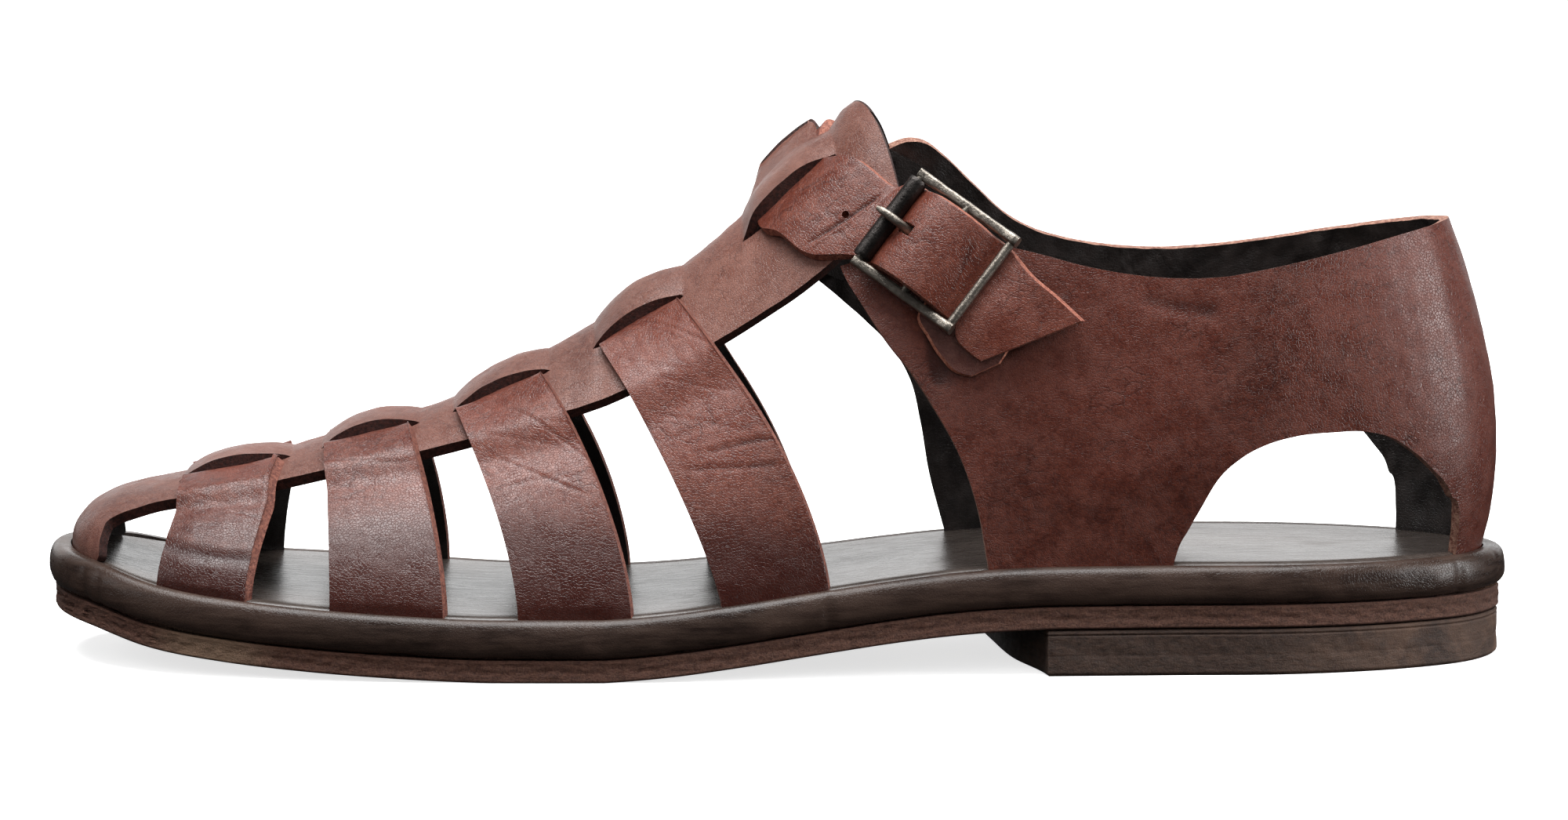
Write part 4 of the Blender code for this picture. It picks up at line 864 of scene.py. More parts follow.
# Height of the top loop's hump over the ankle strap on the inner side, and where it is up and down again
HUMP = 0.0092
HUMP_ENDS = (0.25, 0.78, 1.00)

# Share of LENGTH: front foot, front ridge, rear foot, rear ridge, then bow and shift of the inner foot
STRAPS = (
    (0.087, 0.100, 0.149, 0.170, 2.0, 0.004),
    (0.203, 0.195, 0.281, 0.2525, 2.0, -0.013),
    (0.328, 0.281, 0.405, 0.3384, 1.9, -0.009),
    (0.463, 0.3756, 0.536, 0.4287, 1.5, -0.012),
)
ANKLE_SLIT = (0.4852, 0.5378)
SLIT_SPARE = 0.003
# Share of the way up at which a strap goes through its slit
SLIT_CROSSED = 0.79
# Clearance between a strap and what it lies on, and between a strap and the loop over it
ON_SPINE, UNDER_LOOP = 0.00005, 0.00035
# How far before the spine's edge a strap starts to climb, and before the slit to dive, and over what reach
# it does so, all as shares of the way up
CLIMB, DIVE = (0.115, 0.105), (0.045, 0.10)


def spine_edge_height(v):
    """Share of the way up at which the spine's edge lies."""
    rows = np.array(SPINE[SPINE_FROM:], float)
    return smooth_table(np.column_stack([last_station(rows[:, 0]), rows[:, 1]]))(v)


def slit_height(v):
    edge = spine_edge_height(v)
    return edge + (1.0 - edge) * SLIT


def strap_station(strap, b, g, side):
    """Station of a strap's line: b is 0 at its front edge and 1 at its rear, g the way up."""
    front, front_ridge, rear, rear_ridge, bow, inner_shift = STRAPS[strap]
    rise = np.sin(g * np.pi / 2) ** bow
    shift = inner_shift * (1.0 - rise) if side > 0 else 0.0
    s = (front + (front_ridge - front) * rise) * (1 - b) + (rear + (rear_ridge - rear) * rise) * b + shift
    return last_station(s)


def slit_spans():
    """Where each slit begins and ends: as wide as its strap there, with a little to spare."""
    spans = [tuple(float(share(station_x(strap_station(k, b, SLIT_CROSSED, -1)))) for b in (0.0, 1.0))
             for k in range(len(STRAPS))]
    spans.append(ANKLE_SLIT)
    return [(a - SLIT_SPARE, b + SLIT_SPARE) for a, b in spans]


def loop_rise(s):
    """How far a slit is open at a share of LENGTH on the ridge: sin(pi t)^0.8 along each span."""
    rise = np.zeros(np.shape(s))
    for start, end in slit_spans():
        t = (s - start) / (end - start)
        rise = np.where((t > 0) & (t < 1), np.sin(np.clip(t, 0, 1) * np.pi) ** 0.8, rise)
    return rise


# %% The spine
SPINE_COLUMNS = 520
SPINE_HALF = 30


def edge_curves(count):
    """Edge station, edge height and ridge station at even steps along the spine."""
    rows = np.array(SPINE, float)
    table = np.column_stack([last_station(rows[:, 0]), rows[:, 1], last_station(rows[:, 2])])
    ahead = np.maximum(np.abs(np.diff(table[:, 0])), np.diff(table[:, 2]))
    walk = np.concatenate([[0.0], np.cumsum(np.hypot(ahead, 0.05 * np.diff(table[:, 1])))])
    read = smooth_table(np.column_stack([walk, table]))
    at = np.linspace(0.0, walk[-1], count)
    return read(at, 0), np.maximum(read(at, 1), 0.0), read(at, 2)


def make_spine():
    """Lines across from the edge (f = 0) to the ridge (f = 1) on both sides; lift follows the loops."""
    columns = SPINE_COLUMNS
    edge_v, edge_g, ridge_v = edge_curves(columns)
    ridge_share = share(station_x(ridge_v))
    rise = loop_rise(ridge_share)
    rise[-WHOLE_TIP:] = 0.0
    slit = SLIT + (TOP_SLIT - SLIT) * ease((ridge_share - TOP_FROM[0]) / TOP_FROM[1])
    start, end = slit_spans()[-1]
    t = np.clip((ridge_share - start) / (end - start), 0.0, 1.0)
    hump = HUMP * ease(t / HUMP_ENDS[0]) * ease((HUMP_ENDS[2] - t) / (HUMP_ENDS[2] - HUMP_ENDS[1]))
    q = np.linspace(0.0, 1.0, SPINE_HALF // 2)[:, None]
    margin = q * (slit - SLIT_OPEN)
    centre = slit + SLIT_OPEN + q * (1.0 - slit - SLIT_OPEN)
    half = np.concatenate([margin, centre])
    across = np.concatenate([half, half[-2::-1]])
    sides = np.array([-1] * len(half) + [1] * (len(half) - 1))
    inside = np.minimum(np.arange(len(across)), np.arange(len(across))[::-1]) >= len(margin)
    flap = ease((np.arange(columns) - columns + FLAP_COLUMNS) / FLAP_GROWTH)
    inner, outer, creases, flat = [], [], [], []
    for f, side, in_centre in zip(across, sides, inside):
        v = edge_v + (ridge_v - edge_v) * f
        g = np.minimum(edge_g + (1.0 - edge_g) * f, 1.0)
        pressed = -MARGIN_PRESS * rise * (f / slit)
        lift = (LOOP_RISE * rise if in_centre else pressed) + FLAP_LIFT * flap * f
        pushed = hump * ((1.0 - f) / (1.0 - slit)) ** 1.3 if in_centre and side > 0 else 0.0 * hump
        if in_centre and side < 0:
            lift = lift + TOP_LIP * hump / HUMP * (1.0 - f) / (1.0 - slit)
        pushed = np.outer(pushed, (0.0, 0.0, 1.0))
        thick = LEATHER + (SPINE_LEATHER - LEATHER) * ease(g / SKIVED)
        base = skin(v, g, side, lift) + pushed
        wave = 0.00012 * lumps(base, 0.016, 5) * ease(g * 3) + 0.00005 * lumps(base, 0.004, 8)
        inner.append(base)
        lip = LIP * rise * near_edge(f - slit - SLIT_OPEN, LIP_DEPTH) if in_centre else 0.0
        f_out = f + lip
        v_out = edge_v + (ridge_v - edge_v) * f_out
        g_out = np.minimum(edge_g + (1.0 - edge_g) * f_out, 1.0)
        outer.append(skin(v_out, g_out, side, lift + thick + wave) + pushed)
        creases.append(wave * 0.5 + 0.00018 * rise * (1 if in_centre else 0))
        flat.append(np.stack([ridge_share * LENGTH, np.full(columns, side * (1 - f) * 0.02)], -1))
    rows = len(across)
    index = np.arange(rows * columns).reshape(rows, columns)
    closed = rise <= 0.0
    m = len(margin)
    index[m][closed] = index[m - 1][closed]
    index[rows - 1 - m][closed] = index[rows - m][closed]
    nose = np.concatenate([np.arange(len(half)), np.arange(len(half) - 1)[::-1]])
    nose = np.where(nose == m, m - 1, nose)
    index[len(half):, 0] = index[nose[len(half):], 0]
    parts = [index[0:m], index[m:rows - m], index[rows - m:rows]]
    quads = np.concatenate([grid_quads(part) for part in parts])
    base = np.flatnonzero(edge_g <= 1e-6)
    drop = np.array([0.0, 0.0, SINK])
    start = rows * columns
    n = len(base)
    near, far = start + np.arange(n), start + n + np.arange(n)
    far[0] = near[0]
    quads = np.concatenate([quads, grid_quads(np.stack([near, index[0, base]])),
                            grid_quads(np.stack([index[rows - 1, base], far]))])
    points_in = np.concatenate([np.concatenate(inner)] + [inner[r][base] - drop for r in (0, rows - 1)])
    points_out = np.concatenate([np.concatenate(outer)] + [outer[r][base] - drop for r in (0, rows - 1)])
    uv = np.concatenate([np.concatenate(flat)] + [flat[r][base] for r in (0, rows - 1)])
    tone = np.concatenate([np.concatenate(creases), np.zeros(2 * n)])
    return sheet("spine", points_in, points_out, quads, uv, tone, 0.00045)


dress(make_spine(), spine_leather, "upper", "upper")


# %% [markdown]
# Each strap starts between rand and insole, climbs the last, lies on the spine's margin, dives through the
# slit under the loop and comes down the other side. It has been worn, so it creases across where the foot
# bends, most in the third and fourth straps. The creases are placed on the flat strap: distance up from the
# foot, distance from the front edge, both in metres.

# %% Creases of the straps: (up, across) to (up, across), depth, width
STRAP_FOLDS = (
    ((0.0070, 0.000, 0.0078, 0.020, 0.00034, 0.0015), (0.0130, 0.006, 0.0155, 0.020, 0.00010, 0.0005),
     (0.0180, 0.012, 0.0165, 0.021, 0.00012, 0.0005), (0.0215, 0.002, 0.0205, 0.012, 0.00007, 0.0004)),
    ((0.0336, 0.001, 0.0346, 0.013, 0.00013, 0.0004), (0.0330, 0.011, 0.0352, 0.021, 0.00010, 0.0004),
     (0.0242, 0.000, 0.0238, 0.012, 0.00012, 0.0004), (0.0246, 0.010, 0.0236, 0.021, 0.00009, 0.0004)),
    ((0.0467, 0.010, 0.0325, 0.021, 0.00016, 0.0004), (0.0256, 0.001, 0.0298, 0.014, 0.00015, 0.0004),
     (0.0343, 0.004, 0.0254, 0.018, 0.00016, 0.0004), (0.0400, 0.003, 0.0375, 0.015, 0.00012, 0.0004),
     (0.0440, 0.012, 0.0405, 0.021, 0.00010, 0.0004), (0.0280, 0.010, 0.0300, 0.021, 0.00010, 0.0004)),
    ((0.0675, 0.008, 0.0550, 0.019, 0.00012, 0.0004), (0.0487, 0.007, 0.0430, 0.020, 0.00013, 0.0004),
     (0.0307, 0.008, 0.0305, 0.021, 0.00024, 0.0007), (0.0270, 0.003, 0.0263, 0.021, 0.00020, 0.0006),
     (0.0400, 0.003, 0.0350, 0.016, 0.00012, 0.0004), (0.0350, 0.002, 0.0385, 0.018, 0.00012, 0.0004),
     (0.0560, 0.002, 0.0500, 0.012, 0.00010, 0.0004)),
)
# How far the front and the rear cut slant back, in metres
STRAP_CUTS = ((0.0000, 0.0018), (0.0000, 0.0009), (0.0000, 0.0006), (0.0000, 0.0006))
# Share of the strap's width that a cut slants over
CUT_SHARE = 0.05
# How far the middle of a strap stands out, and how tall its soft and its fine unevenness are
STRAP_CROWN, STRAP_SOFT, STRAP_FINE = 0.00035, 0.00006, 0.00004
STRAP_ROWS = 145
STRAP_ACROSS = 47


def strap_side(k, side, rows, across):
    """Height and lift of one side of a strap from its foot (0) to the ridge (1)."""
    up = np.linspace(0.0, 1.0, rows)[:, None]
    b = across[None, :]
    g = np.broadcast_to(up, (rows, len(across))).copy()
    v = strap_station(k, b, g, side)
    edge = spine_edge_height(v)
    slit = slit_height(v)
    rise = loop_rise(share(station_x(v)))
    on_margin = SPINE_LEATHER + ON_SPINE - MARGIN_PRESS * rise * np.clip((g - edge) / (slit - edge), 0, 1)
    in_loop = LOOP_RISE * rise - LEATHER - UNDER_LOOP
    climb = ease((g - (edge - CLIMB[0])) / CLIMB[1])
    dive = ease((g - (slit - DIVE[0])) / DIVE[1])
    lift = climb * on_margin
    return g, v, lift + (in_loop - lift) * dive


def make_strap(k):
    """Both sides of a strap, joined on the ridge, with creases, a crowned middle and slanted cuts."""
    across = np.linspace(0.0, 1.0, STRAP_ACROSS)
    inner, outer, tones, flat = [], [], [], []
    for side in (-1, 1):
        g, v, lift = strap_side(k, side, STRAP_ROWS, across)
        base = skin(v, g, side, lift)
        up = np.linalg.norm(np.diff(base, axis=0), axis=-1).cumsum(0)
        up = np.concatenate([np.zeros((1, STRAP_ACROSS)), up])
        width = np.linalg.norm(np.diff(base, axis=1), axis=-1).cumsum(1)
        width = np.concatenate([np.zeros((STRAP_ROWS, 1)), width], 1)
        crease = folds(up, width, STRAP_FOLDS[k])
        middle = STRAP_CROWN * (1 - np.square(2 * across - 1))[None, :] * ease((0.62 - g) / 0.2)
        small = STRAP_SOFT * lumps(base, 0.012, 20 + k) + STRAP_FINE * lumps(base, 0.003, 30 + k)
        relief = crease + small
        foot = ease(g / 0.06)
        top = skin(v, g, side, lift + LEATHER + (relief + middle) * foot)
        low = skin(v, g, side, lift + (0.6 * relief + middle) * foot)
        front_cut, rear_cut = STRAP_CUTS[k]
        slant = front_cut * near_edge(across, CUT_SHARE) - rear_cut * near_edge(1 - across, CUT_SHARE)
        top[..., 0] += slant * (side < 0)
        drop = np.array([0.0, 0.0, SINK])
        inner_side = np.concatenate([low[:1] - drop, low])
        outer_side = np.concatenate([top[:1] - drop, top])
        tone = np.concatenate([np.zeros((1, STRAP_ACROSS)), relief])
        uv = np.stack([side * np.concatenate([up[:1] - SINK, up]), np.concatenate([width[:1], width])], -1)
        if side > 0:
            keep = slice(-2, None, -1)
            inner_side, outer_side, tone, uv = (q[keep] for q in (inner_side, outer_side, tone, uv))
        inner.append(inner_side)
        outer.append(outer_side)
        tones.append(tone)
        flat.append(uv)
    inner, outer = np.concatenate(inner), np.concatenate(outer)
    index = np.arange(inner.shape[0] * STRAP_ACROSS).reshape(inner.shape[0], STRAP_ACROSS)
    return sheet(f"strap_{k + 1}", inner.reshape(-1, 3), outer.reshape(-1, 3), grid_quads(index),
                 np.concatenate(flat).reshape(-1, 2), np.concatenate(tones).ravel(), 0.0004)


for number in range(len(STRAPS)):
    dress(make_strap(number), strap_leather, "upper", "upper")


# %% [markdown]
# The quarter wraps the heel. It is a grid that walks round the rim of the last: each column stands on the
# rim and runs from the foot, or from the arch of the cut-out, up to the collar. Slanted front edges are made
# by sliding the columns forward as they rise.

# %% Tables of the quarter
# Height as a share of INSTEP, share of LENGTH at the outer side and at the inner side
FRONT_EDGE = (
    (0.00, 0.6415, 0.6170), (0.12, 0.6335, 0.6060), (0.22, 0.6210, 0.6000), (0.31, 0.6035, 0.5920),
    (0.375, 0.5890, 0.5790), (0.43, 0.5745, 0.5620), (0.50, 0.5590, 0.5380), (0.56, 0.5470, 0.5170),
    (0.63, 0.5400, 0.5000), (0.80, 0.5300, 0.4900),
)
# Share of LENGTH, height as a share of INSTEP at the outer side and at the inner side
COLLAR = (
    (0.490, 0.560, 0.595), (0.515, 0.565, 0.640), (0.545, 0.575, 0.700), (0.580, 0.595, 0.767),
    (0.594, 0.603, 0.773), (0.605, 0.605, 0.762), (0.616, 0.604, 0.735), (0.636, 0.596, 0.676),
    (0.657, 0.587, 0.617), (0.678, 0.573, 0.581), (0.700, 0.556, 0.561), (0.723, 0.542, 0.549),
    (0.767, 0.528, 0.540), (0.799, 0.530, 0.545), (0.832, 0.545, 0.556), (0.885, 0.574, 0.580),
    (0.940, 0.603, 0.605), (1.000, 0.624, 0.624),
)
# Share of LENGTH, height of the cut-out as a share of INSTEP
ARCH = (
    (0.7660, 0.000), (0.7700, 0.030), (0.7770, 0.062), (0.7860, 0.102), (0.7990, 0.157), (0.8140, 0.195),
    (0.8300, 0.220), (0.8480, 0.235), (0.8710, 0.241), (0.8950, 0.240), (0.9080, 0.230), (0.9200, 0.208),
    (0.9350, 0.167), (0.9480, 0.114), (0.9545, 0.055), (0.9560, 0.000),
)
ARCH_INNER_END = 0.9300
# Distance behind the front edge over which its slant fades, in metres
FRONT_REACH = 0.065
# Share of LENGTH at the top of the front edge, from which the folds are measured
FRONT_TOP = 0.54
RIM_WALK = walked(LAST_RIM)
HEEL_WALK = RIM_WALK[np.argmax(LAST_RIM[:, 0])]


# %% The quarter's surface
def rim_at(walk):
    read = [np.interp(walk, RIM_WALK, column) for column in (*LAST_RIM.T, *RIM_NORMAL.T)]
    return np.stack(read[:2], -1), np.stack(read[2:], -1)


def walk_to(s, side):
    """Distance round the rim to a share of LENGTH on one side."""
    x = (np.asarray(s, float) - 0.5) * LENGTH
    mine = (RIM_WALK < HEEL_WALK) if side < 0 else (RIM_WALK >= HEEL_WALK)
    order = np.argsort(LAST_RIM[mine, 0])
    return np.interp(x, LAST_RIM[mine, 0][order], RIM_WALK[mine][order])


def section_inset(s, half, height):
    """How far the wall has drawn in from its foot: the superellipse in front, the lean table behind."""
    tall, n = section(s, 0) * INSTEP, section(s, 1)
    rise = np.clip(height / tall, 0.0, 1.0)
    oval = half * (1.0 - (1.0 - rise**n) ** (1.0 / n))
    h = height / INSTEP
    waist = lean(h, 0) + (lean(h, 1) - lean(h, 0)) * ease((s - HEEL_FROM) / (1.0 - HEEL_FROM))
    return oval + (waist - oval) * ease((s - LEAN_FROM) / (WAIST - LEAN_FROM))


def quarter_point(walk, h):
    """Foot on the rim, moved in along the rim's normal by the section's inset, at a height over the seat."""
    foot, out = rim_at(walk)
    x, y = foot[..., 0], foot[..., 1]
    s = share(x)
    side = np.sign(y + 1e-9)
    turn = ease((s - LEAN_FROM) / (HEEL_FROM - LEAN_FROM))
    square = np.stack([0.0 * y, side], -1)
    out = unit(square + (out - square) * turn[..., None])
    inset = section_inset(s, np.abs(y - section(s, 2) * BALL), h * INSTEP)
    p = foot - out * inset[..., None]
    return np.concatenate([p, (seat(x) + h * INSTEP)[..., None]], -1)


def quarter_skin(walk, h, lift):
    walk, h, lift = np.broadcast_arrays(np.asarray(walk, float), np.asarray(h, float), lift)
    return lift_off(quarter_point, walk, h, lift, 1)


def arch_height(s, side):
    start, end = ARCH[0][0], ARCH[-1][0]
    last = end if side < 0 else ARCH_INNER_END
    s = start + (s - start) * (end - start) / (last - start)
    return np.where((s > start) & (s < end), np.maximum(smooth_table(ARCH)(s), 0.0), 0.0)


QUARTER_ROWS = 86
# Unevenness of the quarter: soft waves, fine ones, and the wrinkles of its lining
QUARTER_SOFT, QUARTER_FINE, LINING_WRINKLE = 0.00016, 0.00004, 0.00034
# Folds of the quarter's outer side, distance back from the front edge and height over the seat in metres
QUARTER_FOLDS = (
    (0.014, 0.062, 0.020, 0.036, 0.00040, 0.0030), (0.030, 0.058, 0.034, 0.040, 0.00025, 0.0026),
    (0.006, 0.020, 0.016, 0.008, 0.00022, 0.0022), (0.060, 0.052, 0.075, 0.049, 0.00020, 0.0020),
)


def quarter_columns():
    """Distances round the rim: even runs, crowded where the cut-outs' ends turn upright."""
    front, start = FRONT_EDGE[0], ARCH[0][0]
    turn = 0.5 - 0.5 * np.cos(np.linspace(0, np.pi, 150))
    near = walk_to(np.linspace(front[1], start, 70), -1)
    arch = walk_to(start + (ARCH[-1][0] - start) * turn, -1)[1:]
    far = walk_to(np.linspace(front[2], start, 70), 1)
    inner_arch = walk_to(start + (ARCH_INNER_END - start) * turn, 1)[1:]
    outer_walk = np.concatenate([near, arch])
    inner_walk = np.concatenate([far, inner_arch])[::-1]
    back = np.linspace(outer_walk[-1], inner_walk[0], 80)[1:-1]
    return np.concatenate([outer_walk, back, inner_walk])


def make_quarter():
    """Rows from the foot or the arch to the collar. The collar's height is found by repeated steps towards
    it, since a column slides forward as it rises."""
    walk = quarter_columns()
    foot, _ = rim_at(walk)
    s = share(foot[:, 0])
    side = np.where(walk < HEEL_WALK, -1, 1)
    front, collar = smooth_table(FRONT_EDGE), smooth_table(COLLAR)
    start = np.where(side < 0, FRONT_EDGE[0][1], FRONT_EDGE[0][2])
    fade = np.clip(1.0 - (s - start) * LENGTH / FRONT_REACH, 0.0, 1.0)

    def column_share(h):
        edge = np.where(side < 0, front(h, 0), front(h, 1))
        return s + (edge - start) * fade

    top = np.full(len(s), 0.6)
    for _ in range(60):
        here = column_share(top)
        top = 0.6 * top + 0.4 * np.where(side < 0, collar(here, 0), collar(here, 1))
    bottom = np.where(side < 0, arch_height(s, -1), arch_height(s, 1))
    inner, outer, tones, flat = [], [], [], []
    for r in range(QUARTER_ROWS):
        h = bottom + (top - bottom) * r / (QUARTER_ROWS - 1)
        at = np.where(side < 0, walk_to(column_share(h), -1), walk_to(column_share(h), 1))
        at = np.where(fade > 0, at, walk)
        base = quarter_skin(at, h, np.zeros(len(s)))
        back = (share(base[:, 0]) - FRONT_TOP) * LENGTH
        crease = folds(back, h * INSTEP, QUARTER_FOLDS) * (side < 0)
        wave = QUARTER_SOFT * lumps(base, 0.024, 41) + QUARTER_FINE * lumps(base, 0.004, 42)
        stand = ease(h / 0.05)
        wrinkle = LINING_WRINKLE * lumps(base * (1.0, 1.0, 0.5), 0.005, 43)
        inner.append(quarter_skin(at, h, (crease + wave * 0.6 + wrinkle) * stand))
        outer.append(quarter_skin(at, h, LEATHER + (crease + wave) * stand))
        tones.append(crease + 0.5 * wave)
        flat.append(np.stack([walk, h * INSTEP], -1))
    drop = np.array([0.0, 0.0, SINK])
    columns = len(s)
    index = np.arange((QUARTER_ROWS + 1) * columns).reshape(QUARTER_ROWS + 1, columns)
    quads = grid_quads(index)
    standing = bottom <= 0.0
    first = quads[:, 0]
    after = np.minimum(first % columns + 1, columns - 1)
    keep = (first >= columns) | (standing[first % columns] & standing[after])
    inner, outer = np.concatenate([inner[0] - drop] + inner), np.concatenate([outer[0] - drop] + outer)
    flat, tones = np.concatenate([flat[0]] + flat), np.concatenate([0 * tones[0]] + tones)
    return sheet("quarter", inner, outer, quads[keep], flat, tones, 0.0005)


dress(make_quarter(), quarter_leather, "upper", "upper")


# %% [markdown]
# The buckle has its own directions: along the strap, across it, and out from the foot. Its place is read off
# the last, so that it sits on the quarter however the last is shaped.

# %% The buckle's directions
# Places on the last: share of LENGTH, share of the way up
BUCKLE_AT = (0.6105, 0.4600)
BUCKLE_ROLLER_AT = (0.5805, 0.5400)
BUCKLE_KEEPER_AT = (0.6395, 0.3850)
BUCKLE_LIFT = 0.0072
BUCKLE_LENGTH = 0.0225
BUCKLE_CLEAR = 0.0196
SIDE_BAR = 0.0019
SIDE_BAR_TALL = 0.0017
BAR = 0.0018
LUG = 0.0016
ROLLER = 0.0038
PRONG = 0.0018
CHAPE_LEATHER = 0.0010
CHAPE_WIDTH = 0.0150
ANKLE_WIDTH = 0.0188
PRONG_SLOT = (-0.36, -0.235)


def buckle_axes():
    """Centre of the buckle and its unit directions: along, across, and out, square to along."""
    roller = skin(last_station(BUCKLE_ROLLER_AT[0]), BUCKLE_ROLLER_AT[1], -1, BUCKLE_LIFT)
    keeper = skin(last_station(BUCKLE_KEEPER_AT[0]), BUCKLE_KEEPER_AT[1], -1, BUCKLE_LIFT)
    low = skin(last_station(BUCKLE_AT[0]), BUCKLE_AT[1], -1, 0.0)
    high = skin(last_station(BUCKLE_AT[0]), BUCKLE_AT[1], -1, BUCKLE_LIFT)
    along = unit(keeper - roller)
    out = high - low
    out = unit(out - along * (out @ along))
    return (roller + keeper) / 2, along, np.cross(out, along), out


CENTRE, ALONG, ACROSS, OUT = buckle_axes()


def in_buckle(a, b, c):
    """Points given along, across and out from the buckle's centre."""
    a, b, c = (np.asarray(q, float)[..., None] for q in np.broadcast_arrays(a, b, c))
    return CENTRE + ALONG * a + ACROSS * b + OUT * c


print("buckle centre", np.round(CENTRE, 4))

# %% [markdown]
# The ankle strap leaves the inside of the inner quarter, passes through the top loop of the spine, goes down
# to the buckle and over its centre bar, and its pointed end lies on the quarter behind the keeper bar. It is
# a ribbon through cross lines. It creases where it turns over the roller and beside the loop.

# %% Tables of the ankle strap
LOOP_FLOOR = LOOP_RISE + UNDER_LOOP - LEATHER
# Side, front edge (share of LENGTH, share of the way up), rear edge (the same), lift over the last, and how
# far the front and the rear edge are pushed up
ANKLE = (
    (1, 0.545, 0.480, 0.606, 0.600, -0.0022, 0.0000, 0.0000),
    (1, 0.518, 0.580, 0.584, 0.670, -0.0022, 0.0006, 0.0010),
    (1, 0.499, 0.680, 0.556, 0.740, 0.0024, 0.0024, 0.0045),
    (1, 0.491, 0.780, 0.542, 0.820, LOOP_FLOOR, 0.0034, 0.0060),
    (1, 0.490, 0.880, 0.538, 0.890, LOOP_FLOOR, 0.0014, 0.0028),
    (1, 0.490, 0.995, 0.537, 0.995, LOOP_FLOOR, 0.0000, 0.0000),
    (-1, 0.493, 0.880, 0.537, 0.890, LOOP_FLOOR, 0.0000, 0.0000),
    (-1, 0.4945, 0.786, 0.5395, 0.820, LOOP_FLOOR + 0.0004, 0.0000, 0.0000),
    (-1, 0.5092, 0.6915, 0.560, 0.723, 0.0030, 0.0000, 0.0000),
    (-1, 0.531, 0.575, 0.586, 0.602, 0.0026, 0.0000, 0.0000),
)
TAIL = (
    (-1, 0.622, 0.320, 0.674, 0.365, 0.0043),
    (-1, 0.630, 0.298, 0.690, 0.318, 0.0042),
    (-1, 0.637, 0.283, 0.706, 0.272, 0.0041),
)
# Place along the buckle as a share of BUCKLE_LENGTH, then metres further towards its end, and the height of
# the strap's under side over the buckle's plane
STRAP_WAVE = (
    (-0.50, 0.0000, -(ROLLER / 2 + GAP + LEATHER)), (-0.50, 0.0016, -0.0041), (-0.50, 0.0038, -0.0015),
    (0.00, -0.0049, 0.0014),
    (0.00, -0.0025, BAR / 2 + 1.5 * GAP + CHAPE_LEATHER), (0.00, 0.0014, BAR / 2 + 1.5 * GAP + CHAPE_LEATHER),
    (0.00, 0.0045, 0.0011), (0.50, -0.0036, -0.0014), (0.50, 0.0000, -(BAR / 2 + GAP + LEATHER)),
)
# The spare hole, along and across the strap
HOLE_AT = (0.0583, 0.0112)
HOLE_RADIUS, HOLE_REACH = 0.00065, 0.0016
PUNCH_SIDES = 16
# Grid of the ankle strap: lines along it and points across it
ANKLE_GRID = (330, 44)
# Creases: (along the strap, across it) twice, depth, width
ANKLE_FOLDS = (
    (0.0586, 0.002, 0.0596, 0.018, 0.00035, 0.0006), (0.0330, 0.000, 0.0350, 0.009, 0.00030, 0.0012),
    (0.0460, 0.010, 0.0520, 0.020, 0.00015, 0.0006), (0.0900, 0.002, 0.0880, 0.015, 0.00018, 0.0007),
)


def on_last(rows):
    """Front and rear points of rows that give side, front edge, rear edge and lift."""
    front = [skin(last_station(r[1]), r[2], r[0], r[5]) for r in rows]
    rear = [skin(last_station(r[3]), r[4], r[0], r[5]) for r in rows]
    return np.array(front), np.array(rear)


def ribbon_lines(front, rear, count, across):
    """Smooth cross lines of a ribbon, its unit normals away from the foot, and distances along and across."""
    middle = (front + rear) / 2
    walk = walked(middle)
    read = smooth_table(np.column_stack([walk, front, rear]))
    at = np.linspace(0.0, walk[-1], count)
    front = np.stack([read(at, k) for k in range(3)], -1)
    rear = np.stack([read(at, k + 3) for k in range(3)], -1)
    along = np.gradient((front + rear) / 2, axis=0)
    out = unit(np.cross(along, rear - front))
    t = np.linspace(0.0, 1.0, across)
    points = front[:, None] + (rear - front)[:, None] * t[None, :, None]
    width = np.linalg.norm(rear - front, axis=1)
    return points, out[:, None], at[:, None] + 0 * t, width[:, None] * t


# A ribbon's cuts slant over this share of half its width, and less at the front edge than at the rear
RIBBON_CUT, FRONT_BEVEL = 0.12, 0.4
# Share of one grid step by which a ribbon's ends are drawn in on the grain side
END_BEVEL = 0.8


def ribbon(name, front, rear, thick, grid, fold_rows, seed, belly=0.0, small=0.00010, slant=0.0006):
    """A strip of leather through cross lines, crowned by its belly, with creases and slanted cuts."""
    count, across = grid
    points, out, along, off = ribbon_lines(front, rear, count, across)
    t = np.linspace(-1.0, 1.0, across)[None, :]
    relief = folds(along, off, fold_rows) + small * lumps(points, 0.012, seed)
    arch = belly * (1 - t * t)
    inner = points + out * (0.5 * relief + arch)[..., None]
    outer = points + out * (thick + relief + arch)[..., None]
    step = unit(points[:, -1:] - points[:, :1])
    bevel = FRONT_BEVEL * near_edge(1 + t, RIBBON_CUT) - near_edge(1 - t, RIBBON_CUT)
    outer += slant * bevel[..., None] * step
    for end, inward in ((0, 1), (-1, -2)):
        outer[end] += END_BEVEL * (outer[inward] - outer[end])
    quads = grid_quads(np.arange(count * across).reshape(count, across))
    uv = np.stack([along, off], -1).reshape(-1, 2)
    return sheet(name, inner.reshape(-1, 3), outer.reshape(-1, 3), quads, uv, relief.ravel(), 0.0004)


def cut_slot(piece, a, b, c):
    """Cut a slot with a block between two corners in the buckle's directions."""
    corners = np.array([in_buckle(x, y, z) for x in a for y in b for z in c])
    faces = [(0, 1, 3, 2), (4, 6, 7, 5), (0, 4, 5, 1), (2, 3, 7, 6), (0, 2, 6, 4), (1, 5, 7, 3)]
    cutter = new_mesh("cutter", corners, np.array(faces), kind=np.full(6, CUT))
    outward_faces(cutter)
    cut_away(piece, cutter)


